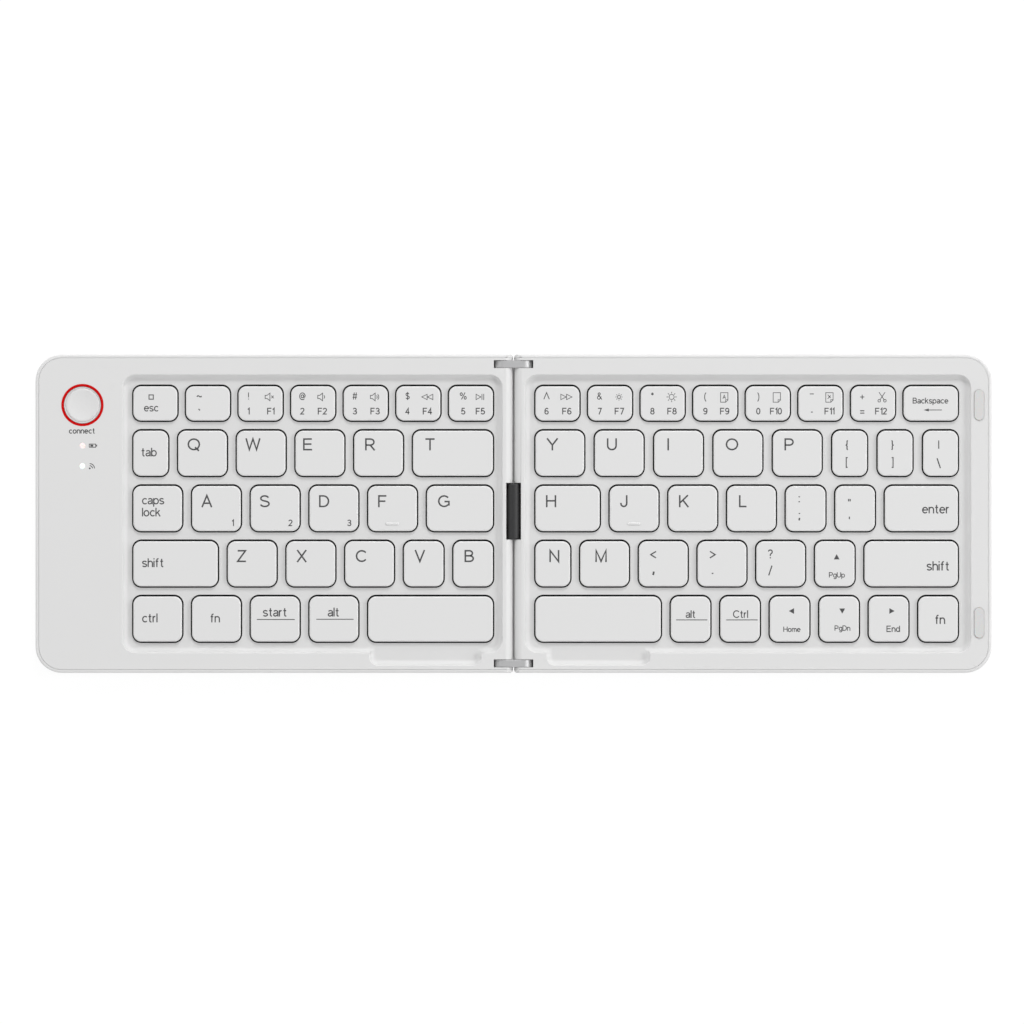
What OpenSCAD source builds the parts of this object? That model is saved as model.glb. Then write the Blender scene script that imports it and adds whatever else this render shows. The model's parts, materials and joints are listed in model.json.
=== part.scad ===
// Folding pocket keyboard: two thin halves joined by a pair of two-pivot links, so that the
// right half swings up and over and comes to rest face down on the left half.
// Millimetres. +X right, +Y rear, +Z up. Origin at the middle of the resting face, unfolded.

/* [Case] */
// Width of the rim from the well's lip to the case's rear or front face
rim_w = 6.15; // [5.9:0.05:6.6]
// Thickness of one half without its feet
case_t = 7.4; // [7.2:0.1:8.6]
// Radius of the outer corners seen from above
corner_r = 8.3; // [6:0.1:11]
// Radius of the seam corners seen from above
seam_corner_r = 0.9; // [0.8:0.1:2]
// Rounding of the underside's edge
bottom_edge_r = 1.4; // [0.4:0.1:1.4]
// Rounding of the rim's outer top edge
rim_edge_r = 0.6; // [0.2:0.1:0.7]
// Wall of a bottom cover
wall_t = 1.0; // [0.9:0.05:1.2]
// Floor of a bottom cover
floor_t = 1.0; // [0.8:0.05:1.2]
// Roof of a top cover
roof_t = 1.2; // [1:0.05:1.4]
// Hairline between a top cover and the rim round it
part_gap = 0.05; // [0.04:0.01:0.15]
// Step inside a bottom cover that carries the top cover
ledge_w = 0.6; // [0.4:0.05:0.8]

/* [Key well] */
// Depth of the well below the top face
well_depth = 2.0; // [1.6:0.1:2.2]
// Thickness of the web between the keys
web_t = 1.0; // [0.8:0.05:1.2]
// Radius of the coved wall round the well
cove_r = 1.8; // [1.2:0.1:2]
// Rounding of the well's lip
lip_r = 0.3; // [0.15:0.05:0.4]
// Corner radius of the well seen from above
well_corner_r = 4.3; // [3:0.1:5]
// Distance from the seam line to the well's lip
well_seam_margin = 3.3; // [3.2:0.1:3.6]
// Distance from the outermost keys to the well's lip, left half
left_well_margin = 3.6; // [3:0.1:4.5]
// Distance from the outermost keys to the well's lip, right half
right_well_margin = 4.3; // [3.4:0.1:4.4]
// Distance from the rear and front keys to the well's lip
well_row_margin = 3.7; // [3.2:0.1:4]
// How far the thumb cut-out in front of a space key runs past the well
thumb_cut_d = 3.9; // [2:0.1:4]
// Distance from a space key's inner end to the thumb cut-out
thumb_start = 3.4; // [2:0.1:6]
// Distances from the left and right space key's outer end back to the thumb cut-out
thumb_end = [0.3, 3.2];
// Corner radius of the thumb cut-out seen from above
thumb_corner_r = 2.6; // [2:0.1:3.2]

/* [Keys] */
// Space between two keycaps in a row
key_space = 3.15; // [2.8:0.05:3.4]
// Space between two keycaps in the number row
number_space = 2.72; // [2.4:0.02:3]
// Space between two rows
row_space = 3.06; // [2.8:0.02:3.4]
// Distance from the seam line to the left half's keys
left_seam_keys = 6.5; // [6.3:0.1:7]
// Distance from the seam line to the right half's keys
right_seam_keys = 6.9; // [6.3:0.1:7.2]
// Distance from the right half's keys to its outer end
right_end_keys = 10.6; // [10:0.1:12]
// Gap round a keycap in its opening
key_gap = 0.45; // [0.3:0.05:0.5]
// Depth of a keycap, front to rear
key_d = 14.35; // [13.5:0.05:14.6]
// Depth of a keycap in the number row
number_key_d = 10.95; // [10.6:0.05:11.6]
// Width of a letter keycap
letter_w = 15.35; // [14.4:0.05:15.7]
// Width of a punctuation keycap
small_w = 12.45; // [11.8:0.05:12.8]
// Width of the narrowest keycaps
narrow_w = 10.95; // [10.6:0.05:11.5]
// Width of the T keycap
t_w = 25.2; // [24:0.1:26]
// Width of the enter keycap
enter_w = 23.0; // [21:0.1:24]
// Height of a keycap
key_h = 2.2; // [2:0.05:2.3]
// How far a keycap sinks below the web's top face when it is pressed
key_sink = 0.1; // [0:0.05:0.2]
// Corner radius of a keycap
key_corner_r = 2.5; // [1.6:0.1:2.8]
// Rounding of a keycap's top edge
key_edge_r = 0.35; // [0.2:0.05:0.45]
// Wall of a keycap
key_wall = 0.8; // [0.7:0.05:0.9]
// Travel of a key
key_travel = 1.5; // [1.2:0.1:1.6]

/* [Hinge] */
// Depth of the pivots below the top face
pivot_depth = 2.9; // [2.85:0.05:3]
// Gap between the two top faces when folded
closed_gap = 0.5; // [0.45:0.05:0.6]
// Gap between the halves at the seam
seam_gap = 0.4; // [0.3:0.05:0.45]
// Rounding of a link's ends
link_r = 2.7; // [2.4:0.05:2.8]
// Thickness of a link
link_t = 2.3; // [1.8:0.1:2.5]
// Distance from the case's rear or front face to a link's middle
link_inset = 3.0; // [2.9:0.05:3.1]
// Radius of a hinge pin
pin_r = 0.9; // [0.7:0.05:1]
// Clearance of a hinge pin in its link
pin_clear = 0.05; // [0.02:0.01:0.08]
// Play of a link in its slot, each side
link_play = 0.1; // [0.06:0.01:0.15]
// Length of a pin held beyond its slot
pin_hold = 2.6; // [2:0.1:2.8]

/* [Cable bridge] */
// Radius of the barrel that covers the cable at the seam
barrel_r = 2.0; // [1.8:0.05:2.05]
// Length of the barrel
barrel_l = 17.5; // [12:0.5:24]
// Gap round the barrel in its pocket
barrel_gap = 0.32; // [0.28:0.02:0.4]
// Width of the flat cable
cable_w = 11; // [6:0.5:11]
// Thickness of the flat cable
cable_t = 0.2; // [0.15:0.05:0.3]

/* [Connect button] */
// Distance from the left end to the button's axis
button_end = 14.8; // [13:0.1:16]
// Distance from the rear face to the button's axis
button_rear = 15.9; // [14:0.1:17]
// Radius of the button
button_r = 5.75; // [4.5:0.05:6]
// Width of the ring round the button
ring_w = 0.75; // [0.5:0.05:1]
// Gap between the button and its ring
button_gap = 0.15; // [0.15:0.05:0.4]
// Width of the raised edge round the button's dish
button_lip = 0.25; // [0.2:0.05:0.8]
// Travel of the button
button_travel = 0.5; // [0.3:0.05:0.5]
// Depth of the dish in the button's face
button_dish = 0.35; // [0.2:0.05:0.5]
// Distances from the button's axis to the two lights
light_steps = [12.8, 19.2];
// Radius of a light
light_r = 0.95; // [0.6:0.05:1]

/* [Inside] */
// Thickness of a steel key plate
plate_t = 0.4; // [0.3:0.05:0.5]
// Thickness of a membrane
membrane_t = 0.25; // [0.2:0.05:0.3]
// Width of the battery
battery_w = 18.6; // [16:0.1:22]
// Thickness of the battery
battery_t = 3.4; // [3:0.1:3.6]
// Distance from the left end to the battery
battery_end = 6.2; // [4:0.1:8]
// Distance from the case's front face to the battery
battery_front = 6.15; // [5:0.05:8]
// Distance from the left end to the main board
board_end = 2.4; // [2:0.1:4]
// Distance from the battery to the main board
cell_gap = 3.8; // [2:0.1:6]
// Gap from the well's lip to the battery and the main board
strip_gap = 2.4; // [2:0.1:4]
// Length, width and thickness of the main board
board = [21.6, 35, 0.8];
// Length, width and thickness of a magnet
magnet = [2.2, 12, 1.6];
// Distance from the middle to each magnet's middle, front to rear
magnet_y = 12; // [8:0.5:20]

/* [Outside] */
// Height of a foot below the underside
foot_h = 0.8; // [0.5:0.1:1.2]
// Length and width of a foot
foot = [24, 5];
// Depth of a foot's recess
foot_recess = 0.3; // [0.2:0.05:0.4]
// Distance from a half's ends to the middle of its feet
foot_end = 24; // [18:0.5:40]
// Distance from the case's rear or front face to the middle of its feet
foot_inset = 12; // [9:0.5:20]
// Distances from the seam to the inner screws, rear and front
screw_seam = [40, 58];
// Distance from a half's outer end to the outer screws
screw_end = 32.6; // [28:0.1:40]
// Radius of a cover screw
screw_r = 0.55; // [0.4:0.05:0.7]
// Radius of a cover screw's head
screw_head_r = 1.1; // [0.9:0.05:1.3]
// Thickness of a cover screw's head
screw_head_t = 0.5; // [0.3:0.05:0.6]
// Length of a cover screw
screw_l = 4.1; // [3:0.1:4.4]
// Length of a fold bumper
bumper_l = 9.6; // [6:0.1:14]
// Width of a fold bumper
bumper_w = 3.0; // [2:0.1:3.2]
// Gap round a bumper in its recess
bumper_gap = 0.08; // [0.04:0.01:0.12]
// Distance from a half's outer end to the middle of its bumpers and magnets
rim_inset = 3.9; // [3.6:0.05:4.2]
// How far a bumper stands proud of the top face
bumper_proud = 0.4; // [0.2:0.05:0.42]
// Distance from the middle to each bumper's middle, front to rear
bumper_y = 34.3; // [28:0.1:38]
// Height of the charging socket
socket_h = 3.2; // [3:0.05:3.3]
// Width of the charging socket
socket_w = 8.95; // [8.5:0.05:9.2]
// Distance from the rear face to the socket's middle
socket_rear = 23; // [21:0.5:24]

/* [Hidden] */
$fn = 64;

white = [0.9, 0.9, 0.9];
dark = [0.12, 0.12, 0.13];
metal = [0.72, 0.72, 0.73];
LEFT = -1;
RIGHT = 1;

// layout: the keys set the length and the depth, and the wide keys take what the others leave
left_keys_w = t_w + 4 * letter_w + narrow_w + 5 * key_space;
number_w = (left_keys_w - 6 * number_space) / 7;
g_w = left_keys_w - 5 * letter_w - 5 * key_space;
left_shift_w = left_keys_w - 2 * small_w - 3 * letter_w - 5 * key_space;
left_space_w = left_keys_w - 4 * letter_w - 4 * key_space;
strip_w = left_well_margin + strip_gap + max(battery_w + battery_end, board[0] + board_end);
half_l = left_seam_keys + left_keys_w + strip_w;
right_keys_w = half_l - right_seam_keys - right_end_keys;
backspace_w = right_keys_w - 7 * (number_w + number_space);
h_w = right_keys_w - 3 * letter_w - 2 * small_w - enter_w - 6 * key_space;
right_shift_w = right_keys_w - narrow_w - 4 * letter_w - small_w - 6 * key_space;
right_space_w = right_keys_w - 6 * (small_w + key_space);
keys_d = number_key_d + 4 * (key_d + row_space);
well_y = keys_d / 2 + well_row_margin;
case_d = 2 * (well_y + rim_w);

// heights
case_z = foot_h;
top_z = case_z + case_t;
floor_z = case_z + floor_t;
plate_z = floor_z;
membrane_z = plate_z + plate_t;
switch_z = membrane_z + membrane_t;
well_z = top_z - well_depth;
part_z = well_z - web_t;
key_z = well_z + key_travel - key_sink;
skirt_z = key_z - key_h;
cap_roof_z = key_z - key_wall;
roof_z = top_z - roof_t;
pivot_z = top_z - pivot_depth;

// hinge, measured from the seam line on either half
seam_x = seam_gap / 2;
pivot_x = pivot_depth + closed_gap / 2;
seam_edge_r = pivot_x - seam_x;
link_y = case_d / 2 - link_inset;
slot_w = link_t + 2 * link_play;
slot_end_gap = 0.35;
slot_floor_gap = 0.2;
slot_x = pivot_x + link_r + slot_end_gap;
slot_z = pivot_z - link_r - slot_floor_gap;
cover_y = case_d / 2 - wall_t - part_gap;
pin_in_y = link_y - slot_w / 2 - pin_hold;
hinge_block_wall = 2.8;
hinge_block_x = slot_x + hinge_block_wall;
hinge_block_y = pin_in_y - 0.2;
block_gap = 0.1;
fixed_pin_clear = 0.01;
pin_end_gap = 0.1;

// barrel, on the fold's middle plane
barrel_below = 0.1;
barrel_z = top_z - barrel_below - barrel_r;
barrel_y = 0.8;
pocket_x = barrel_r + barrel_gap;
pocket_z = barrel_z - barrel_r - barrel_gap;
barrel_end_gap = 0.2;
pocket_l = barrel_l + 2 * barrel_end_gap;
barrel_slit_h = 1.0;
cable_low_z = switch_z + 0.1;
cable_end_x = 11;
cable_gate_l = 1.3;
cable_side_gap = 0.6;

// connect button and the parts under it, in the left half's own frame (x away from the seam)
button_x = half_l - button_end;
button_y = case_d / 2 - button_rear;
ring_r = button_r + button_gap + ring_w;
ring_proud = 0.05;
button_low = 0.1;
flange_gap = 0.05;
flange_z = roof_z - flange_gap;
flange_t = 0.5;
stem_r = 1.6;
board_post_h = 1.0;
board_rear_gap = 3;
board_z = floor_z + board_post_h;
board_top = board_z + board[2];
board_x = half_l - board_end - board[0];
board_y = cover_y - roof_t - board_rear_gap - board[1];
switch_h = 1.3;
switch_floor = 0.2;
light_foot = 0.7;
light_flange = 0.5;
plunger_r = 0.9;
plunger_play = 0.05;
plunger_top = board_top + switch_h + button_travel + plunger_play;
socket_y = case_d / 2 - socket_rear;
socket_l = 7.3;
socket_z = board_top + socket_h / 2;
socket_sunk = 0.2;
socket_x = half_l - socket_sunk - socket_l;
battery_x = half_l - battery_end - battery_w;
battery_y = -case_d / 2 + battery_front;
battery_l = board_y - cell_gap - battery_y;

// rim furniture: magnets, bumpers, screws and feet, in a half's own frame
rim_x = half_l - rim_inset;
boss_r = 1.3;
screw_y = cover_y - roof_t - boss_r - 0.05;
screw_gap = 0.1;
screw_sunk = 0.05;
screw_bite = 0.02;
screw_places = [[screw_seam[0], 1], [half_l - screw_end, 1], [screw_seam[1], -1], [half_l - screw_end, -1]];
foot_x = [foot_end, half_l - foot_end];
foot_y = case_d / 2 - foot_inset;
bumper_sunk = 0.8;

// key well
function keys_w(side) = side == LEFT ? left_keys_w : right_keys_w;
function seam_keys(side) = side == LEFT ? left_seam_keys : right_seam_keys;
function well_far(side) = seam_keys(side) + keys_w(side)
    + (side == LEFT ? left_well_margin : right_well_margin);
function thumb_x(side) = side == LEFT
    ? [seam_keys(LEFT) + thumb_start, seam_keys(LEFT) + left_space_w - thumb_end[0]]
    : [seam_keys(RIGHT) + thumb_start, seam_keys(RIGHT) + right_space_w - thumb_end[1]];

// Key rows from rear to front, each from the seam outwards: [keycap width, node that holds it].
// The gaps in a row share what its keycaps leave of the field, as on the real board.
function repeated(n, w, name) = [for (i = [1:n]) [w, name]];
left_rows = [
    repeated(7, number_w, "left_number_keys"),
    concat([[t_w, "t_key"]], repeated(4, letter_w, "qwer_keys"), [[narrow_w, "tab_key"]]),
    concat([[g_w, "g_key"]], repeated(4, letter_w, "asdf_keys"), [[letter_w, "caps_lock_key"]]),
    concat(repeated(2, small_w, "vb_keys"), repeated(3, letter_w, "zxc_keys"),
        [[left_shift_w, "left_shift_key"]]),
    concat([[left_space_w, "left_space_key"]], repeated(4, letter_w, "left_control_keys"))];
right_rows = [
    concat(repeated(7, number_w, "right_number_keys"), [[backspace_w, "backspace_key"]]),
    concat(repeated(5, letter_w, "yuiop_keys"), repeated(3, narrow_w, "bracket_keys")),
    concat([[h_w, "h_key"]], repeated(3, letter_w, "jkl_keys"),
        repeated(2, small_w, "semicolon_keys"), [[enter_w, "enter_key"]]),
    concat([[narrow_w, "n_key"]], repeated(4, letter_w, "m_keys"), [[small_w, "up_key"]],
        [[right_shift_w, "right_shift_key"]]),
    concat([[right_space_w, "right_space_key"]], repeated(2, small_w, "right_control_keys"),
        repeated(3, small_w, "arrow_keys"), [[small_w, "right_control_keys"]])];
function rows(side) = side == LEFT ? left_rows : right_rows;
function total(list, n) = n <= 0 ? 0 : list[n - 1][0] + total(list, n - 1);
function key_gap_in(side, row) = (keys_w(side) - total(row, len(row))) / (len(row) - 1);
function key_x(side, row, i) = seam_keys(side) + total(row, i) + i * key_gap_in(side, row) + row[i][0] / 2;
function row_d(r) = r == 0 ? number_key_d : key_d;
function row_y(r) = r == 0 ? keys_d / 2 - number_key_d / 2
    : keys_d / 2 - number_key_d - row_space - (r - 1) * (key_d + row_space) - key_d / 2;
// every key of a half as [x, y, width, depth, node]
function keys(side) = [for (r = [0:4], i = [0:len(rows(side)[r]) - 1])
    [key_x(side, rows(side)[r], i), row_y(r), rows(side)[r][i][0], row_d(r), rows(side)[r][i][1]]];

// scissor under a keycap: two tilted frames, one inside the other, on a common axle
scissor_room = [0.575, 0.475];
scissor = [narrow_w - 2 * key_wall - 2 * scissor_room[0], number_key_d - 2 * key_wall - 2 * scissor_room[1]];
scissor_bar = 0.9;
scissor_t = 0.6;
scissor_play = 0.2;
axle_r = 0.2;
axle_play = 0.05;
axle_root = 0.1;
scissor_rise = cap_roof_z - switch_z - scissor_t - 0.4;
scissor_tilt = asin(scissor_rise / (scissor[0] - scissor_bar));
scissor_z = (cap_roof_z + switch_z) / 2;
clip = [0.5, 2.4, 1.0];
clip_root = 0.1;
clip_gap = 0.2;
clip_x = scissor[0] / 2 * cos(scissor_tilt) + scissor_t / 2 * sin(scissor_tilt) + clip_gap + clip[0] / 2;
plate_margin = [0.8, 1.6];
dome_top_gap = 0.05;
dome_r = [1.9, 1.3];
dome_t = 0.4;

// ---------- shared shapes ----------

// Points of an arc, from angle a to angle b in n steps.
function arc(c, r, a, b, n) = [for (i = [0:n]) c + r * [cos(a + (b - a) * i / n), sin(a + (b - a) * i / n)]];

// Edge profiles are lists of [d, z] from the low end to the high end; d = 0 is the outline.
function plain_edge(z0, z1) = [[0, z0], [0, z1]];
function soft_edge(z0, z1, r0, r1) = concat(
    r0 > 0 ? arc([-r0, z0 + r0], r0, -90, 0, 4) : [[0, z0]],
    r1 > 0 ? arc([-r1, z1 - r1], r1, 0, 90, 4) : [[0, z1]]);

// Coved well wall: out of the floor in a hollow arc, then over a small round lip.
wall_slope = 78;
lip_slope = 8;
function cove_run() = cove_r * sin(wall_slope) + lip_r * (sin(wall_slope) - sin(lip_slope));
cove_foot = cove_run() + (well_depth - cove_r * (1 - cos(wall_slope))
    - lip_r * (cos(lip_slope) - cos(wall_slope))) / tan(wall_slope);
function well_edge() = concat(
    arc([-cove_foot, well_z + cove_r], cove_r, -90, wall_slope - 90, 8),
    arc([-lip_r * sin(lip_slope), top_z - lip_r * cos(lip_slope)] + [lip_r * 2 * sin(lip_slope), 0],
        lip_r, 90 + wall_slope, 90 + lip_slope, 4),
    [[0.05, top_z + 1]]);

// A block over the rectangle x0..x1, y0..y1 with its edge profile carried round it. The two
// corners at x0 have radius ra and the two at x1 radius rb.
module swept_block(x0, x1, y0, y1, ra, rb, edge) {
    low = edge[0][1];
    high = edge[len(edge) - 1][1];
    back = [for (i = [len(edge) - 1:-1:0]) edge[i]];
    translate([x0 + ra, 0, 0]) rotate([90, 0, 90]) linear_extrude(x1 - rb - x0 - ra)
        polygon(concat([for (p = edge) [y1 + p[0], p[1]]], [for (p = back) [y0 - p[0], p[1]]]));
    swept_end(x1 - rb, y0, y1, rb, edge, low, high);
    mirror([1, 0, 0]) swept_end(-x0 - ra, y0, y1, ra, edge, low, high);
}

// One end of a swept block: a strip and two turned corners.
module swept_end(x, y0, y1, r, edge, low, high) {
    profile = concat([[0, low]], [for (p = edge) [r + p[0], p[1]]], [[0, high]]);
    translate([x, y1 - r, 0]) rotate([90, 0, 0]) linear_extrude(y1 - y0 - 2 * r) polygon(profile);
    translate([x, y1 - r, 0]) rotate_extrude(angle = 90) polygon(profile);
    translate([x, y0 + r, 0]) rotate(-90) rotate_extrude(angle = 90) polygon(profile);
}

// The two ends of a stretch of length l about its middle c.
function span(c, l) = [c - l / 2, c + l / 2];

module box(x, y, z) translate([x[0], y[0], z[0]]) cube([x[1] - x[0], y[1] - y[0], z[1] - z[0]]);

// A half is modelled with x running away from the seam; the left one is its mirror image.
module on_side(side) {
    if (side == LEFT) mirror([1, 0, 0]) children();
    else children();
}

module both_ends() {
    children();
    mirror([0, 1, 0]) children();
}

// Flat oblong standing on z = 0, long along y.
module oblong(l, w, h) {
    for (s = [-1, 1]) translate([0, s * (l - w) / 2, 0]) cylinder(d = w, h = h);
    translate([-w / 2, -(l - w) / 2, 0]) cube([w, l - w, h]);
}

// ---------- case ----------

// Outer form of a half: round plan corners, soft underside, round rim.
module case_form() {
    swept_block(seam_x, half_l, -case_d / 2, case_d / 2, seam_corner_r, corner_r,
        soft_edge(case_z, top_z, min(bottom_edge_r, seam_corner_r - 0.1), rim_edge_r));
}

// What the fold takes off the seam edge above the pivots, so that it clears the other half.
module seam_round_off() {
    difference() {
        box([seam_x - 1, pivot_x], [-case_d, case_d], [pivot_z, top_z + 5]);
        translate([pivot_x, 0, pivot_z]) rotate([90, 0, 0])
            cylinder(r = seam_edge_r, h = 3 * case_d, center = true, $fn = 128);
    }
}

// Space inside a half at a distance from its outline, with corners to match.
module inner_form(inset, z0, z1) {
    swept_block(seam_x + inset, half_l - inset, -case_d / 2 + inset, case_d / 2 - inset,
        0.5, corner_r - inset, plain_edge(z0, z1));
}

module link_slots() {
    both_ends() box([seam_x - 1, slot_x], span(link_y, slot_w), [slot_z, top_z + 1]);
}

module barrel_pocket() {
    box([seam_x - 1, pocket_x], span(barrel_y, pocket_l), [pocket_z, top_z + 1]);
}

module cable_gate_cut() {
    box([pocket_x - 1, pocket_x + cable_gate_l], span(barrel_y, cable_w + 2 * cable_side_gap),
        [part_z - 1, barrel_z + 2 * cable_t]);
}

module at_screws() {
    for (p = screw_places) translate([p[0], p[1] * screw_y, 0]) children();
}

module at_feet() {
    for (x = foot_x, s = [-1, 1]) translate([x, s * foot_y, 0]) rotate(90) children();
}

module socket_form(l, grow) {
    w = socket_w + 2 * grow;
    h = socket_h + 2 * grow;
    rotate([0, 90, 0]) oblong(w, h, l);
}

module bottom_cover(side) {
    difference() {
        case_form();
        seam_round_off();
        // stepped inside: the ledge stops at the top cover's underside
        inner_form(wall_t + ledge_w, floor_z, part_z + 1);
        inner_form(wall_t, part_z, top_z + 1);
        // above the parting line the seam face belongs to the top cover
        box([seam_x - 1, seam_x + 2 * wall_t], span(0, 2 * (cover_y + part_gap)), [part_z, top_z + 1]);
        // room for the hinge blocks of the top cover
        both_ends() box([seam_x + wall_t, hinge_block_x + block_gap],
            [hinge_block_y - block_gap, cover_y + part_gap], [floor_z, part_z + 1]);
        link_slots();
        barrel_pocket();
        at_screws() {
            translate([0, 0, case_z - 1]) cylinder(r = screw_r + screw_gap, h = floor_t + 2);
            translate([0, 0, case_z - 1]) cylinder(r = screw_head_r + screw_gap, h = 1 + screw_head_t);
        }
        at_feet() translate([0, 0, case_z - 1]) oblong(foot[0], foot[1], 1 + foot_recess);
        if (side == LEFT)
            translate([socket_x, socket_y, socket_z]) socket_form(socket_l + 5, 0.15);
    }
}

module well_cut(side) {
    swept_block(well_seam_margin, well_far(side), -well_y, well_y, well_corner_r, well_corner_r, well_edge());
    swept_block(thumb_x(side)[0], thumb_x(side)[1], -well_y - thumb_cut_d, 0,
        thumb_corner_r, thumb_corner_r, well_edge());
}

// Solid left standing round the well when a top cover is hollowed from below.
module well_keep(side) {
    box([seam_x, well_far(side) + roof_t], span(0, 2 * (well_y + roof_t)), [0, top_z]);
    box([thumb_x(side)[0] - roof_t, thumb_x(side)[1] + roof_t], [-case_d, 0], [0, top_z]);
    box([seam_x, hinge_block_x + 1], [-case_d, case_d], [0, top_z]);
}

module key_openings(side) {
    for (k = keys(side))
        translate([k[0], k[1], 0]) swept_block(-k[2] / 2 - key_gap, k[2] / 2 + key_gap,
            -k[3] / 2 - key_gap, k[3] / 2 + key_gap, key_corner_r + key_gap, key_corner_r + key_gap,
            plain_edge(part_z - 1, well_z + 0.5));
}

module top_cover(side) {
    difference() {
        union() {
            difference() {
                swept_block(seam_x, half_l - wall_t - part_gap, -cover_y, cover_y, 0.5,
                    corner_r - wall_t - part_gap, soft_edge(part_z, top_z, 0, 0.15));
                // hollow rim
                difference() {
                    inner_form(wall_t + part_gap + roof_t, part_z - 1, roof_z);
                    well_keep(side);
                }
            }
            // blocks that hold the hinge pins and stand on the bottom cover's floor
            both_ends() box([seam_x + wall_t + 0.02, hinge_block_x], [hinge_block_y, cover_y],
                [floor_z, part_z + 0.1]);
            at_screws() translate([0, 0, floor_z]) cylinder(r = boss_r, h = roof_z + 0.1 - floor_z);
        }
        seam_round_off();
        well_cut(side);
        key_openings(side);
        link_slots();
        barrel_pocket();
        cable_gate_cut();
        both_ends() translate([pivot_x, cover_y + 1, pivot_z]) rotate([90, 0, 0])
            cylinder(r = pin_r + fixed_pin_clear, h = cover_y + 1 - pin_in_y);
        at_screws() translate([0, 0, case_z]) cylinder(r = screw_r + screw_bite, h = screw_l + 2 * screw_sunk);
        if (side == LEFT) {
            translate([button_x, button_y, roof_z - 1]) cylinder(r = ring_r, h = roof_t + 2);
            for (s = light_steps) translate([button_x, button_y - s, roof_z - 1])
                cylinder(r = light_r, h = roof_t + 2);
            box([half_l - 8, half_l], span(socket_y, socket_w + 0.4), [0, socket_z + socket_h / 2 + 0.2]);
        }
        else
            for (s = [-1, 1]) translate([rim_x, s * bumper_y, top_z - bumper_sunk])
                oblong(bumper_l + 2 * bumper_gap, bumper_w + 2 * bumper_gap, bumper_sunk + 1);
    }
}

// ---------- hinge ----------

module link(y) {
    translate([0, y + link_t / 2, pivot_z]) rotate([90, 0, 0]) difference() {
        union() {
            for (s = [-1, 1]) translate([s * pivot_x, 0, 0]) cylinder(r = link_r, h = link_t);
            translate([-pivot_x, -link_r, 0]) cube([2 * pivot_x, 2 * link_r, link_t]);
        }
        for (s = [-1, 1]) translate([s * pivot_x, 0, -1]) cylinder(r = pin_r + pin_clear, h = link_t + 2);
    }
}

module hinge_pins() {
    both_ends() translate([pivot_x, cover_y, pivot_z]) rotate([90, 0, 0])
        cylinder(r = pin_r, h = cover_y - pin_in_y - pin_end_gap);
}

// ---------- cable bridge ----------

module barrel() {
    end_r = 0.4;
    translate([0, barrel_y, barrel_z]) difference() {
        rotate([90, 0, 0]) rotate_extrude() polygon(concat([[0, -barrel_l / 2]],
            arc([barrel_r - end_r, -barrel_l / 2 + end_r], end_r, -90, 0, 4),
            arc([barrel_r - end_r, barrel_l / 2 - end_r], end_r, 0, 90, 4), [[0, barrel_l / 2]]));
        cube([3 * barrel_r, cable_w + 0.8, barrel_slit_h], center = true);
    }
}

// Flat cable: low under both webs, up through the two gates and straight through the barrel.
cable_path = [[cable_end_x, cable_low_z], [5.2, cable_low_z], [3.3, barrel_z - 2.2], [2.5, barrel_z - 0.1],
    [2.1, barrel_z]];
cable_line = concat(cable_path, [for (i = [len(cable_path) - 1:-1:0]) [-cable_path[i][0], cable_path[i][1]]]);
// the line's upper side at point i: square to its stretch, or half way between two stretches
function upward(v) = [v[1], -v[0]] / norm(v);
function stretch(i) = upward(cable_line[i + 1] - cable_line[i]);
function cable_top(i) = cable_line[i] + cable_t * (i == 0 ? stretch(0)
    : i == len(cable_line) - 1 ? stretch(i - 1)
    : (stretch(i - 1) + stretch(i)) / (1 + stretch(i - 1) * stretch(i)));
module cable() {
    translate([0, barrel_y + cable_w / 2, 0]) rotate([90, 0, 0]) linear_extrude(cable_w)
        polygon(concat(cable_line, [for (i = [len(cable_line) - 1:-1:0]) cable_top(i)]));
}

// ---------- keys ----------

module keycap(w, d) {
    hollow_r = key_corner_r - key_wall;
    difference() {
        swept_block(-w / 2, w / 2, -d / 2, d / 2, key_corner_r, key_corner_r,
            soft_edge(skirt_z, key_z, 0, key_edge_r));
        swept_block(-w / 2 + key_wall, w / 2 - key_wall, -d / 2 + key_wall, d / 2 - key_wall,
            hollow_r, hollow_r, plain_edge(skirt_z - 1, cap_roof_z));
    }
}

module keycaps(name) {
    color(white) for (side = [LEFT, RIGHT]) on_side(side)
        for (k = keys(side)) if (k[4] == name) translate([k[0], k[1], 0]) keycap(k[2], k[3]);
}

function plate_x(side) = [seam_keys(side) - plate_margin[0], well_far(side)];
plate_y = span(0, keys_d + 2 * plate_margin[1]);

module key_plate(side) {
    color(metal) on_side(side) union() {
        box(plate_x(side), plate_y, [plate_z, plate_z + plate_t]);
        for (k = keys(side), s = [-1, 1])
            box(span(k[0] + s * clip_x, clip[0]), span(k[1], clip[1]),
                [plate_z + clip_root, plate_z + clip_root + clip[2]]);
    }
}

module membrane(side) {
    slot = 0.3;
    color([0.25, 0.3, 0.28]) on_side(side) difference() {
        union() {
            box(plate_x(side), plate_y, [membrane_z, membrane_z + membrane_t]);
            if (side == LEFT) box([well_far(LEFT) - 1, board_x + 3], [board_y + 4, board_y + 12],
                [membrane_z, membrane_z + membrane_t]);
        }
        for (k = keys(side), s = [-1, 1])
            box(span(k[0] + s * clip_x, clip[0] + 2 * slot), span(k[1], clip[1] + 2 * slot),
                [membrane_z - 1, switch_z + 1]);
    }
}

module dome() {
    top = cap_roof_z - switch_z - dome_top_gap;
    rotate_extrude() polygon([[dome_r[0] - dome_t, 0], [dome_r[0], 0], [dome_r[1], top - dome_t],
        [dome_r[1], top], [0, top], [0, top - dome_t], [dome_r[1] - dome_t, top - dome_t]]);
}

module domes(side) {
    color([0.8, 0.8, 0.78]) on_side(side)
        for (k = keys(side)) translate([k[0], k[1], switch_z]) dome();
}

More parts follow.
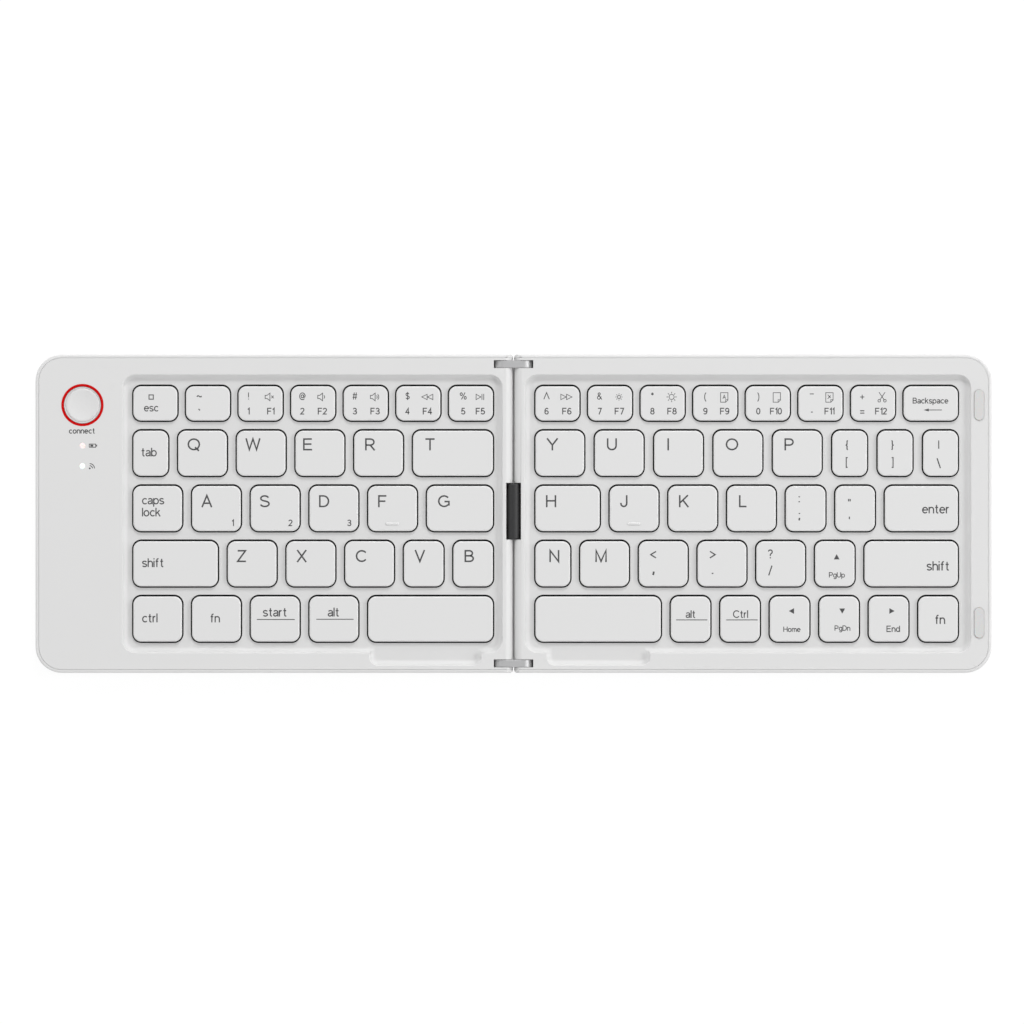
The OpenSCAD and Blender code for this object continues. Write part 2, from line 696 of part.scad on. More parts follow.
// One frame of a scissor, lying flat about its axle.
module scissor_frame(l, w) {
    difference() {
        cube([l, w, scissor_t], center = true);
        cube([l - 2 * scissor_bar, w - 2 * scissor_bar, 2], center = true);
    }
}

module scissor_pair() {
    inner_w = scissor[1] - 2 * scissor_bar - 2 * scissor_play;
    rotate([0, scissor_tilt, 0]) difference() {
        scissor_frame(scissor[0], scissor[1]);
        rotate([90, 0, 0]) cylinder(r = axle_r + axle_play, h = 2 * scissor[1], center = true, $fn = 24);
    }
    rotate([0, -scissor_tilt, 0]) {
        scissor_frame(scissor[0], inner_w);
        for (s = [-1, 1]) translate([0, s * (inner_w / 2 - axle_root), 0]) rotate([-90 * s, 0, 0])
            cylinder(r = axle_r, h = axle_root + scissor_play + scissor_bar, $fn = 24);
    }
}

module scissors(side) {
    color([0.85, 0.85, 0.82]) on_side(side)
        for (k = keys(side)) translate([k[0], k[1], scissor_z]) scissor_pair();
}

// ---------- left end: battery, board, socket, connect button ----------

module battery_cell() {
    color([0.6, 0.62, 0.65]) on_side(LEFT)
        swept_block(battery_x, battery_x + battery_w, battery_y, battery_y + battery_l, 1.2, 1.2,
            soft_edge(floor_z, floor_z + battery_t, 0.6, 0.6));
}

module board_with_parts() {
    chip = [6, 6, 0.9];
    connector = [3, 9, 1.1];
    color([0.1, 0.35, 0.2]) on_side(LEFT) union() {
        translate([board_x, board_y, board_z]) cube(board);
        translate([board_x + 2, board_y + 12, board_top - 0.05]) cube(chip);
        translate([board_x + 1, board_y + 3, board_top - 0.05]) cube(connector);
        for (s = light_steps) translate([button_x - 0.8, button_y - s - 0.4, board_top - 0.05])
            cube([1.6, 0.8, 0.6]);
        // posts under the board, moulded stand-offs on the real one
        for (x = [1.5, board[0] - 1.5], y = [1.5, board[1] - 1.5])
            translate([board_x + x, board_y + y, floor_z]) cylinder(r = 1, h = board_z - floor_z + 0.05);
    }
}

module socket() {
    tongue = [5, 6.6, 0.7];
    mouth = 0.35;
    color(metal) on_side(LEFT) translate([socket_x, socket_y, socket_z]) {
        difference() {
            socket_form(socket_l, 0);
            translate([1, 0, 0]) socket_form(socket_l, -mouth);
        }
        translate([0.9, -tongue[1] / 2, -tongue[2] / 2]) cube(tongue);
    }
}

module button() {
    dish_r = (pow(button_r - button_lip, 2) + pow(button_dish, 2)) / (2 * button_dish);
    top = top_z - button_low;
    color(white) on_side(LEFT) translate([button_x, button_y, 0]) difference() {
        union() {
            translate([0, 0, flange_z - flange_t]) cylinder(r = button_r, h = top - flange_z + flange_t);
            translate([0, 0, flange_z - flange_t]) cylinder(r = ring_r - flange_gap, h = flange_t);
            translate([0, 0, plunger_top]) cylinder(r = stem_r, h = flange_z - plunger_top);
        }
        translate([0, 0, top - button_dish + dish_r]) sphere(r = dish_r, $fn = 128);
    }
}

module ring() {
    color([0.75, 0.05, 0.05]) on_side(LEFT) translate([button_x, button_y, roof_z]) difference() {
        cylinder(r = ring_r, h = roof_t + ring_proud);
        translate([0, 0, -1]) cylinder(r = ring_r - ring_w, h = roof_t + 2);
    }
}

module tact_switch() {
    size = [4.5, 4.5];
    color(dark) on_side(LEFT) translate([button_x, button_y, board_top]) difference() {
        translate([-size[0] / 2, -size[1] / 2, 0]) cube([size[0], size[1], switch_h]);
        translate([0, 0, switch_floor]) cylinder(r = plunger_r + 2 * plunger_play, h = switch_h);
    }
}

module plunger() {
    low = board_top + switch_floor + plunger_play + button_travel;
    color([0.2, 0.2, 0.2]) on_side(LEFT) translate([button_x, button_y, low])
        cylinder(r = plunger_r, h = plunger_top - low);
}

module lights() {
    color([0.95, 0.95, 0.95]) on_side(LEFT) for (s = light_steps)
        translate([button_x, button_y - s, 0]) {
            translate([0, 0, board_top + light_foot])
                cylinder(r = light_r, h = top_z - board_top - light_foot);
            translate([0, 0, roof_z - light_flange]) cylinder(r = light_r + light_flange, h = light_flange);
        }
}

// ---------- small parts ----------

module magnets(side) {
    color(metal) on_side(side) for (s = [-1, 1])
        translate([rim_x + 0.1, s * magnet_y, roof_z] - [magnet[0] / 2, magnet[1] / 2, magnet[2]]) cube(magnet);
}

module bumpers() {
    color([0.88, 0.88, 0.88]) for (s = [-1, 1]) translate([rim_x, s * bumper_y, top_z - bumper_sunk])
        oblong(bumper_l, bumper_w, bumper_sunk + bumper_proud);
}

module feet(side) {
    color([0.75, 0.75, 0.75]) on_side(side) at_feet() oblong(foot[0], foot[1], foot_h + foot_recess);
}

module screws(side) {
    color(metal) on_side(side) at_screws() {
        translate([0, 0, case_z + screw_sunk]) cylinder(r = screw_head_r, h = screw_head_t - screw_sunk);
        translate([0, 0, case_z + screw_sunk]) cylinder(r = screw_r, h = screw_l);
    }
}

// ---------- nodes ----------

module left_bottom_cover() color(white) on_side(LEFT) bottom_cover(LEFT);
module right_bottom_cover() color(white) on_side(RIGHT) bottom_cover(RIGHT);
module left_top_cover() color(white) on_side(LEFT) top_cover(LEFT);
module right_top_cover() color(white) on_side(RIGHT) top_cover(RIGHT);
module left_key_plate() key_plate(LEFT);
module right_key_plate() key_plate(RIGHT);
module left_membrane() membrane(LEFT);
module right_membrane() membrane(RIGHT);
module left_domes() domes(LEFT);
module right_domes() domes(RIGHT);
module left_scissors() scissors(LEFT);
module right_scissors() scissors(RIGHT);
module rear_link() color(metal) link(link_y);
module front_link() color(metal) link(-link_y);
module left_hinge_pins() color(metal) on_side(LEFT) hinge_pins();
module right_hinge_pins() color(metal) on_side(RIGHT) hinge_pins();
module cable_barrel() color(dark) barrel();
module flex_cable() color([0.2, 0.15, 0.05]) cable();

left_bottom_cover();
left_top_cover();
right_bottom_cover();
right_top_cover();
left_key_plate();
right_key_plate();
left_membrane();
right_membrane();
left_domes();
right_domes();
left_scissors();
right_scissors();
battery_cell();  // battery
board_with_parts();  // main_board
socket();  // charge_socket
button();  // connect_button
ring();  // connect_ring
tact_switch();  // connect_switch
plunger();  // switch_plunger
lights();  // status_lights
rear_link();
front_link();
left_hinge_pins();
right_hinge_pins();
cable_barrel();
flex_cable();
magnets(LEFT);  // left_magnets
magnets(RIGHT);  // right_magnets
bumpers();  // fold_bumpers
feet(LEFT);  // left_feet
feet(RIGHT);  // right_feet
screws(LEFT);  // left_screws
screws(RIGHT);  // right_screws
keycaps("left_number_keys");  // left_number_keys
keycaps("tab_key");  // tab_key
keycaps("qwer_keys");  // qwer_keys
keycaps("t_key");  // t_key
keycaps("caps_lock_key");  // caps_lock_key
keycaps("asdf_keys");  // asdf_keys
keycaps("g_key");  // g_key
keycaps("left_shift_key");  // left_shift_key
keycaps("zxc_keys");  // zxc_keys
keycaps("vb_keys");  // vb_keys
keycaps("left_control_keys");  // left_control_keys
keycaps("left_space_key");  // left_space_key
keycaps("right_number_keys");  // right_number_keys
keycaps("backspace_key");  // backspace_key
keycaps("yuiop_keys");  // yuiop_keys
keycaps("bracket_keys");  // bracket_keys
keycaps("h_key");  // h_key
keycaps("jkl_keys");  // jkl_keys
keycaps("semicolon_keys");  // semicolon_keys
keycaps("enter_key");  // enter_key
keycaps("n_key");  // n_key
keycaps("m_keys");  // m_keys
keycaps("up_key");  // up_key
keycaps("right_shift_key");  // right_shift_key
keycaps("right_space_key");  // right_space_key
keycaps("right_control_keys");  // right_control_keys
keycaps("arrow_keys");  // arrow_keys
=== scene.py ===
import json
import math

import bmesh
import bpy
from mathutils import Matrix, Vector

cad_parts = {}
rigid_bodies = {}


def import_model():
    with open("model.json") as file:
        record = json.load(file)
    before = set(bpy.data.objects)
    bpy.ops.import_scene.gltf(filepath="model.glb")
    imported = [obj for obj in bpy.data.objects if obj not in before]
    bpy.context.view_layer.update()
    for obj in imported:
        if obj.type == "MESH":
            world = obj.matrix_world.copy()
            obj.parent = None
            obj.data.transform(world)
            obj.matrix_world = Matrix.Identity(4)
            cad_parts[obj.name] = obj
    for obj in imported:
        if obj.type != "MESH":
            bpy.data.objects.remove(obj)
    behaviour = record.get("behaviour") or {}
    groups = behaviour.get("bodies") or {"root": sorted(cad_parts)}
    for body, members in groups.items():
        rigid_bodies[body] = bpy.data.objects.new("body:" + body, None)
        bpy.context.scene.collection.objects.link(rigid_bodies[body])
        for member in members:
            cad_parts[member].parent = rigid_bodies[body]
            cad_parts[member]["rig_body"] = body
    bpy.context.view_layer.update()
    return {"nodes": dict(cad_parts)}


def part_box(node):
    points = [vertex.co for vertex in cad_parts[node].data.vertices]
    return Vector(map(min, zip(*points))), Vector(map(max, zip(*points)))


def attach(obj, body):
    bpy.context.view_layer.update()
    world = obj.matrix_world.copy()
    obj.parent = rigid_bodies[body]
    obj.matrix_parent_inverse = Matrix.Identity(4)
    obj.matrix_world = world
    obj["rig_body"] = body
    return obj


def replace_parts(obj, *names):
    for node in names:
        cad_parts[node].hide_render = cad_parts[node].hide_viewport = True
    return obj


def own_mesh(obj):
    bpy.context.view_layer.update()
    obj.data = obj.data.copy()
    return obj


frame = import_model()
MM = 0.001


# ---- Bottom covers ----
# Two shallow trays of white injection-moulded plastic with a fine spark-eroded texture. Each holds
# everything in its half and shows as the thin rim round the top cover and as the whole underside.

class Value:
    """A socket that can be used in sums: each operation adds its Math node to the tree."""

    def __init__(self, tree, socket):
        self.tree, self.socket = tree, socket

    def out(self, name):
        return Value(self.tree, self.socket.node.outputs[name])

    def maths(self, operation, *values):
        return self.tree.node("ShaderNodeMath", {"operation": operation}, *values)

    def both_ways(operation):
        """An operator and its reflected form, for when the number stands first."""
        return (lambda one, other: one.maths(operation, one, other),
                lambda one, other: one.maths(operation, other, one))

    __add__, __radd__ = both_ways("ADD")
    __sub__, __rsub__ = both_ways("SUBTRACT")
    __mul__, __rmul__ = both_ways("MULTIPLY")
    __truediv__, __rtruediv__ = both_ways("DIVIDE")

    def __abs__(self):
        return self.maths("ABSOLUTE", self)

    def __gt__(self, other):
        return self.maths("GREATER_THAN", self, other)

    def __lt__(self, other):
        return self.maths("LESS_THAN", self, other)


class Tree:
    """A node tree in the making. node() adds a node: its settings first, then its sockets."""

    def __init__(self, tree):
        self.tree = tree

    def node(self, kind, settings=None, *values, **named):
        made = self.tree.nodes.new(kind)
        for name, setting in (settings or {}).items():
            setattr(made, name, setting)
        inputs = [s for s in made.inputs if s.enabled]
        wanted = list(zip(inputs, values))
        for name, value in named.items():
            label = name.replace("_", " ").lower()
            wanted.append((next(s for s in inputs if s.name.lower() == label), value))
        for socket, value in wanted:
            if isinstance(value, Value):
                self.tree.links.new(value.socket, socket)
            else:
                socket.default_value = value
        shown = [s for s in made.outputs if s.enabled]
        return Value(self, shown[0]) if shown else made

    def xyz(self, **parts):
        return self.node("ShaderNodeCombineXYZ", {}, **parts)

    def parts(self, vector):
        return self.node("ShaderNodeSeparateXYZ", {}, vector)


class Finish(Tree):
    """A material: a Principled shader, with what is the same all over set on its own sockets."""

    def __init__(self, name, **fixed):
        self.material = bpy.data.materials.new(name)
        self.material.use_nodes = True
        super().__init__(self.material.node_tree)
        self.shader = self.tree.nodes["Principled BSDF"]
        self.place = self.node("ShaderNodeTexCoord").out("Object")
        for key, value in fixed.items():
            self.shader.inputs[key.replace("_", " ")].default_value = value

    def feed(self, **varying):
        for key, value in varying.items():
            self.tree.links.new(value.socket, self.shader.inputs[key.replace("_", " ")])

    def noise(self, size_mm, detail=2.0, place=None):
        return self.node("ShaderNodeTexNoise", {}, Vector=place or self.place,
                         Scale=1000.0 / size_mm, Detail=detail, Roughness=0.55)

    def stretched(self, x, y, z):
        return self.node("ShaderNodeMapping", {}, Vector=self.place, Scale=(x, y, z))

    def blend(self, share, first, second):
        return self.node("ShaderNodeMix", {"data_type": "RGBA"}, share, (*first, 1.0), (*second, 1.0))

    def relief(self, height, depth_mm):
        return self.node("ShaderNodeBump", {}, Height=height, Distance=depth_mm * MM)

    def coat(self, pattern, pale, deep, gloss, spread, depth_mm):
        """Colour, gloss and fine relief that all follow one pattern."""
        self.feed(Base_Color=self.blend(pattern, pale, deep), Roughness=pattern * spread + gloss,
                  Normal=self.relief(pattern, depth_mm))


def moulded_white(name, pale, deep, grain_mm, grain_depth, gloss):
    """White moulded plastic: fine texture, faint flow marks and patches that are a little glossier."""
    f = Finish(name, IOR=1.5)
    grain = f.noise(grain_mm, 3.0)
    flow = f.noise(26.0, 3.0)
    f.feed(Base_Color=f.blend(flow * 0.75 + grain * 0.25, pale, deep),
           Roughness=gloss + (grain - 0.5) * 0.16 + (flow - 0.5) * 0.12,
           Normal=f.relief(grain, grain_depth))
    return f


bodies = {name: node["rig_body"] for name, node in frame["nodes"].items()}


def in_scene(name, data):
    """An object of its own, at the origin, for a mesh, a lamp or a camera."""
    made = bpy.data.objects.new(name, data)
    bpy.context.scene.collection.objects.link(made)
    return made


def welded_node(node):
    """A CAD node's loose triangles with their common corners joined."""
    welded = bmesh.new()
    welded.from_mesh(frame["nodes"][node].data)
    bmesh.ops.remove_doubles(welded, verts=welded.verts, dist=0.002 * MM)
    return welded


def solid_mesh(name, shape, finish):
    """A mesh made from a bmesh, which is then given back."""
    mesh = bpy.data.meshes.new(name)
    shape.to_mesh(mesh)
    shape.free()
    mesh.materials.append(finish.material)
    return mesh


def finished_copy(node, finish, bevel_mm=0.0):
    """The CAD node's own surface as one welded mesh with true rounded shading, in place of the node."""
    mesh = solid_mesh(node + "_shell", welded_node(node), finish)
    piece = in_scene(mesh.name, mesh)
    even_shading(piece, bevel_mm=bevel_mm)
    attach(piece, bodies[node])
    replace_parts(piece, node)
    return piece


def even_shading(piece, sharp_deg=32.0, bevel_mm=0.0):
    """Rounded faces shade smoothly, flats stay flat, and a bevel may soften the hard edges."""
    mesh = piece.data
    mesh.polygons.foreach_set("use_smooth", [True] * len(mesh.polygons))
    mesh.set_sharp_from_angle(angle=math.radians(sharp_deg))
    if bevel_mm:
        soft = piece.modifiers.new("soft_edges", "BEVEL")
        soft.width, soft.segments, soft.limit_method = bevel_mm * MM, 2, "ANGLE"
        soft.angle_limit, soft.harden_normals = math.radians(40.0), False
    even = piece.modifiers.new("even_shading", "WEIGHTED_NORMAL")
    even.mode, even.weight, even.keep_sharp = "FACE_AREA", 100, True
    graph = bpy.context.evaluated_depsgraph_get()
    done = bpy.data.meshes.new_from_object(piece.evaluated_get(graph), preserve_all_data_layers=True,
                                           depsgraph=graph)
    corners = [corner.vector.copy() for corner in done.corner_normals]
    level = 0.9999  # an upright part of the normal above this makes a face a level flat
    for face in done.polygons:
        if abs(face.normal.z) > level:
            for i in face.loop_indices:
                corners[i] = face.normal
    done.normals_split_custom_set(corners)
    piece.modifiers.clear()
    piece.data, done.name = done, mesh.name


case_white = moulded_white("case_white", (0.735, 0.735, 0.735), (0.705, 0.703, 0.700), 0.14, 0.006, 0.46)
for node in ("left_bottom_cover", "right_bottom_cover"):
    finished_copy(node, case_white)


# ---- Key plates and membranes ----
# Each half has a plate of stamped, plated steel with bent tabs that hold the keys, and over it a
# dark printed film that makes the contacts. They lie under the keys and show only in the gaps.

plated = Finish("plate_steel", Metallic=1.0)
plated.coat(plated.noise(0.5, 4.0, plated.stretched(0.06, 1.0, 1.0)),
            (0.30, 0.30, 0.31), (0.22, 0.22, 0.23), 0.32, 0.25, 0.002)

film = Finish("membrane_film", IOR=1.55)
tracks = film.node("ShaderNodeTexWave", {"bands_direction": "Y"},
                   Vector=film.place, Scale=500.0, Distortion=1.5, Detail=1.0)
film.feed(Base_Color=film.blend(tracks > 0.8, (0.006, 0.006, 0.007), (0.02, 0.022, 0.02)),
          Roughness=film.noise(3.0) * 0.2 + 0.3, Normal=film.relief(tracks, 0.004))


def dress(finish, *nodes):
    """Gives CAD nodes whose shape is right their finish."""
    for name in nodes:
        frame["nodes"][name].data.materials.clear()
        frame["nodes"][name].data.materials.append(finish.material)


dress(plated, "left_key_plate", "right_key_plate")
dress(film, "left_membrane", "right_membrane")


# ---- Domes and scissors ----
# Under every keycap a silicone rubber dome gives the return, and two hinged frames of moulded
# acetal keep the cap level. Both are plain natural mouldings, hidden by the caps.

def island_boxes(node):
    """Centre, size and top of every separate solid in a CAD node, from its left to its right end."""
    welded = welded_node(node)
    unseen, found = set(welded.verts), []
    while unseen:
        edge, island = [unseen.pop()], []
        while edge:
            v = edge.pop()
            island.append(v.co.copy())
            for e in v.link_edges:
                other = e.other_vert(v)
                if other in unseen:
                    unseen.discard(other)
                    edge.append(other)
        low = Vector(min(p[i] for p in island) for i in range(3))
        high = Vector(max(p[i] for p in island) for i in range(3))
        found.append(((low + high) / 2, high - low, high.z))
    welded.free()
    return sorted(found, key=lambda f: (round(f[0].x, 4), -f[0].y))


KEY_TRAVEL, KEY_CLEARANCE, CAP_ROOF, CAP_RISE = 1.5 * MM, 0.03 * MM, 0.8 * MM, 1.4 * MM
caps = {node: island_boxes(node) for node in frame["nodes"] if node.endswith(("_keys", "_key"))}
cap_top = max(top for found in caps.values() for _, _, top in found)
cap_roof = cap_top - CAP_ROOF

rubber = Finish("dome_rubber", IOR=1.42, Subsurface_Weight=0.15, Subsurface_Scale=0.0006)
rubber.coat(rubber.noise(0.9, 3.0), (0.50, 0.50, 0.48), (0.40, 0.40, 0.39), 0.5, 0.2, 0.004)

acetal = Finish("scissor_plastic", IOR=1.48)
acetal.coat(acetal.noise(0.2, 2.0), (0.10, 0.10, 0.10), (0.07, 0.07, 0.07), 0.38, 0.15, 0.003)


def under_keys(node, finish):
    """Splits what lies under a half's caps key group by key group; each share rides on its node's body."""
    low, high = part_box(node)
    pressed = cap_roof - KEY_TRAVEL - KEY_CLEARANCE - low.z
    welded = welded_node(node)
    for group, found in caps.items():
        share = welded.copy()
        away = [v for v in share.verts if not any(
            abs(v.co.x - c.x) < s.x / 2 and abs(v.co.y - c.y) < s.y / 2 for c, s, _ in found)]
        bmesh.ops.delete(share, geom=away, context="VERTS")
        if not share.faces:
            share.free()
            continue
        mesh = solid_mesh(group + "_" + node, share, finish)
        piece = in_scene(mesh.name, mesh)
        even_shading(piece)
        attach(piece, bodies[node])
        group + "_press"
        pressed / (high.z - low.z)
        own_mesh(piece)
        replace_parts(piece, node)
    welded.free()


for half in ("left", "right"):
    for kind, coat, slot in (("_domes", rubber, "dome_rubber"), ("_scissors", acetal, "scissor_plastic")):
        under_keys(half + kind, coat)


# ---- Battery, board, switch and charging socket ----
# The left outer margin holds a foil pouch cell and a green fibreglass board with its parts. The
# socket is a drawn steel shell soldered to the board's edge, open at the end of the case.

foil = Finish("battery_foil", Metallic=1.0)
crease = foil.node("ShaderNodeTexVoronoi", {}, Vector=foil.place, Scale=260.0)
foil.feed(Base_Color=foil.blend(crease, (0.62, 0.63, 0.64), (0.48, 0.49, 0.50)),
          Roughness=foil.noise(2.0) * 0.2 + 0.25, Normal=foil.relief(crease, 0.03))
dress(foil, "battery")

resist = Finish("board_green", IOR=1.5, Coat_Weight=0.3)
weave = resist.node("ShaderNodeTexWave", {"bands_direction": "X"}, Vector=resist.place, Scale=900.0)
cross = resist.node("ShaderNodeTexWave", {"bands_direction": "Y"}, Vector=resist.place, Scale=900.0)
resist.feed(Base_Color=resist.blend(weave * cross, (0.010, 0.095, 0.040), (0.018, 0.150, 0.065)),
            Roughness=resist.noise(1.0) * 0.15 + 0.25, Normal=resist.relief(weave * cross, 0.003))
dress(resist, "main_board")

black_plastic = Finish("switch_black", IOR=1.5)
black_plastic.coat(black_plastic.noise(0.1, 2.0),
                   (0.018, 0.018, 0.019), (0.030, 0.030, 0.031), 0.4, 0.2, 0.003)
dress(black_plastic, "connect_switch", "switch_plunger")

drawn = Finish("socket_steel", Metallic=1.0)
drawn.coat(drawn.noise(0.3, 3.0, drawn.stretched(0.05, 1.0, 1.0)),
           (0.58, 0.58, 0.59), (0.46, 0.46, 0.47), 0.22, 0.2, 0.002)
finished_copy("charge_socket", drawn)


# ---- Top covers ----
# A second moulding closes each half: the flat margins, the coved wall of the key well and the web
# between the keys are one piece, in the same white plastic and texture as the tray under it.

for node in ("left_top_cover", "right_top_cover"):
    finished_copy(node, case_white)


# ---- Hinge links and pins ----
# Two short steel links join the halves, one at each end of the seam. They are satin finished along
# their length with softened edges, and turn on ground pins that are pressed into the top covers.

satin = Finish("link_steel", Metallic=0.6)
satin.coat(satin.noise(0.22, 4.0, satin.stretched(0.05, 1.0, 1.0)),
           (0.61, 0.61, 0.615), (0.55, 0.55, 0.555), 0.42, 0.12, 0.002)
for node in ("rear_link", "front_link"):
    finished_copy(node, satin, bevel_mm=0.12)

ground = Finish("pin_steel", Metallic=1.0)
ground.coat(ground.noise(0.1, 2.0, ground.stretched(1.0, 0.08, 1.0)),
            (0.55, 0.55, 0.56), (0.42, 0.42, 0.43), 0.2, 0.1, 0.001)
dress(ground, "left_hinge_pins", "right_hinge_pins")


# ---- Cable barrel and flat cable ----
# A turned black barrel bridges the seam and hides the flat cable, which passes through its slit and
# runs under both webs. The barrel has a fine turned finish, and the cable a black cover film that
# shows its tracks as faint ridges.

turned = Finish("barrel_black", IOR=1.5)
rings = turned.node("ShaderNodeTexWave", {"bands_direction": "Y"}, Vector=turned.place, Scale=1600.0,
                    Distortion=0.4, Detail=1.0)
turned.feed(Base_Color=turned.blend(turned.noise(0.6), (0.018, 0.018, 0.019), (0.030, 0.030, 0.031)),
            Roughness=rings * 0.1 + 0.48, Normal=turned.relief(rings, 0.0012))
finished_copy("cable_barrel", turned)

black_film = Finish("cable_film", IOR=1.6)
copper = black_film.node("ShaderNodeTexWave", {"bands_direction": "Y"}, Vector=black_film.place, Scale=420.0)
black_film.feed(Base_Color=black_film.blend(copper > 0.45, (0.010, 0.009, 0.008), (0.022, 0.018, 0.014)),
                Roughness=black_film.noise(1.5) * 0.15 + 0.3, Normal=black_film.relief(copper, 0.006))


def cable_part(name, left, right, body):
    """The length of the flat cable between two places across the seam, closed at its ends."""
    strip = welded_node("flex_cable")
    for place, way in ((left, -1.0), (right, 1.0)):
        bmesh.ops.bisect_plane(strip, geom=[*strip.verts, *strip.edges, *strip.faces], dist=1e-7,
                               plane_co=(place, 0.0, 0.0), plane_no=(way, 0.0, 0.0), clear_outer=True)
        bmesh.ops.holes_fill(strip, edges=[e for e in strip.edges if e.is_boundary], sides=0)
    part = in_scene(name, solid_mesh(name, strip, black_film))
    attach(part, body)
    return part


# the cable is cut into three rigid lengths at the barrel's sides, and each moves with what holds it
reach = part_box("cable_barrel")[1].x + 0.15 * MM
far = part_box("flex_cable")[1].x + 1.0 * MM
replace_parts(cable_part("flex_cable_left", -far, -reach, "left_half"), "flex_cable")
cable_part("flex_cable_middle", -reach, reach, bodies["cable_barrel"])
cable_part("flex_cable_right", reach, far, "right_half")


# ---- Connect button and its ring ----
# The button is a dished white moulding with the caps' smoother finish: a fine groove sets its
# raised edge off from the dish. It moves in a ring of red acrylic that is bonded into the cover.

ring_low, ring_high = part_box("connect_ring")
button_middle = (ring_low + ring_high) / 2
button_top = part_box("connect_button")[1].z

polished = Finish("button_white", IOR=1.5)
apart = polished.parts(polished.place)
across, along = apart.out("X") - button_middle.x, apart.out("Y") - button_middle.y
dish_radius = 5.5 * MM
bowl = (across * across + along * along) / (dish_radius * dish_radius)
grain = polished.noise(0.10, 3.0)
polished.feed(Base_Color=polished.blend(grain, (0.74, 0.74, 0.74), (0.715, 0.715, 0.713)),
              Roughness=grain * 0.12 + 0.32, Normal=polished.relief(bowl + grain * 0.01, 0.3))

# the groove's cutter is a ring that reaches from the bottom of the groove to above the button
groove_in, groove_out, groove_depth, sides = 5.30 * MM, 5.44 * MM, 0.17 * MM, 96
low, high = button_top - groove_depth, button_top + 0.2 * MM
ring_points, ring_faces = [], []
for k, (r, z) in enumerate(((groove_in, low), (groove_out, low), (groove_out, high), (groove_in, high))):
    after = (k + 1) % 4
    for i in range(sides):
        j, a = (i + 1) % sides, 2 * math.pi * i / sides
        ring_points.append((button_middle.x + r * math.cos(a), button_middle.y + r * math.sin(a), z))
        ring_faces.append((k * sides + i, k * sides + j, after * sides + j, after * sides + i))
groove = bpy.data.meshes.new("groove")
groove.from_pydata(ring_points, [], ring_faces)
cutter = in_scene("groove", groove)
button = finished_copy("connect_button", polished)
cut = button.modifiers.new("groove", "BOOLEAN")
cut.object, cut.solver = cutter, "EXACT"
graph = bpy.context.evaluated_depsgraph_get()
button.data = bpy.data.meshes.new_from_object(button.evaluated_get(graph))
button.modifiers.clear()
bpy.data.objects.remove(cutter)
even_shading(button, 24.0)

acrylic = Finish("ring_red", IOR=1.49, Specular_IOR_Level=0.2)
acrylic.coat(acrylic.noise(0.7, 2.0), (0.62, 0.001, 0.001), (0.53, 0.001, 0.001), 0.3, 0.12, 0.004)
finished_copy("connect_ring", acrylic)


# ---- Status lights ----
# Two short light pipes of frosted clear plastic come through the cover, each with a crowned end.
# The upper one is a little warm, the lower one is plain white, and both carry a faint painted glow.

def mesh_piece(name, vertices, faces, finish, body):
    """A mesh object at the origin that rides on a CAD body."""
    mesh = bpy.data.meshes.new(name)
    mesh.from_pydata(vertices, [], faces)
    mesh.materials.append(finish.material)
    piece = in_scene(name, mesh)
    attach(piece, body)
    return piece


def turned_end(centre, profile, sides=40):
    """Rings of a turned shape about an upright axis, closed at its last point on the axis."""
    vertices = [(centre.x + r * MM * math.cos(a), centre.y + r * MM * math.sin(a), z * MM)
                for r, z in profile[:-1] for a in (2 * math.pi * i / sides for i in range(sides))]
    vertices.append((centre.x, centre.y, profile[-1][1] * MM))
    last = (len(profile) - 2) * sides
    faces = [(k + i, k + (i + 1) % sides, k + sides + (i + 1) % sides, k + sides + i)
             for k in range(0, last, sides) for i in range(sides)]
    faces += [(last + i, last + (i + 1) % sides, len(vertices) - 1) for i in range(sides)]
    faces.append(tuple(range(sides - 1, -1, -1)))
    return vertices, faces


def clear_pipe(name, tint, glow):
    """Frosted light pipe with a faint painted glow: emission that brightens it, though it is no lamp."""
    f = Finish(name, IOR=1.5, Subsurface_Weight=0.3, Subsurface_Scale=0.0005, Emission_Strength=glow)
    frost = f.noise(0.15, 2.0)
    f.coat(frost, tint, tuple(c * 0.96 for c in tint), 0.28, 0.15, 0.003)
    f.feed(Emission_Color=f.blend(frost, tint, tuple(c * 0.9 for c in tint)))
    return f


pipes = sorted(island_boxes("status_lights"), key=lambda f: -f[0].y)
# the last number of each is the strength of the painted glow
tints_and_painted_glows = (("upper", (0.95, 0.80, 0.80), 0.20), ("lower", (0.93, 0.93, 0.93), 0.22))
for (centre, size, top), (which, tint, glow) in zip(pipes, tints_and_painted_glows):
    r, high, low = size.x / MM / 2 - 0.5, top / MM, (centre.z * 2 - top) / MM
    crown = [(r * math.cos(a), high - 0.12 + 0.12 * math.sin(a)) for a in (0.0, 0.45, 0.9, 1.3)]
    pipe = mesh_piece(which + "_light_pipe", *turned_end(centre, [
        (r, low), (r, low + 2.2), (r + 0.45, low + 2.3), (r + 0.45, low + 2.7), (r, low + 2.8), *crown,
        (0.0, high)]), clear_pipe(which + "_light", tint, glow), "left_half")
    even_shading(pipe)
    if which == "upper":
        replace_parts(pipe, "status_lights")


# ---- Magnets and fold bumpers ----
# Nickel-plated bar magnets in both outer margins hold the halves shut. Two soft silicone bumpers
# stand proud of the right half's margin and keep the caps apart when it is folded.

nickel = Finish("magnet_nickel", Metallic=1.0)
nickel.coat(nickel.noise(0.8, 3.0), (0.62, 0.60, 0.56), (0.50, 0.48, 0.45), 0.18, 0.2, 0.003)
dress(nickel, "left_magnets", "right_magnets")

silicone = Finish("bumper_rubber", IOR=1.42, Subsurface_Weight=0.1, Subsurface_Scale=0.0005)
silicone.coat(silicone.noise(0.3, 3.0), (0.66, 0.66, 0.655), (0.62, 0.62, 0.615), 0.5, 0.15, 0.004)
finished_copy("fold_bumpers", silicone, bevel_mm=0.25)


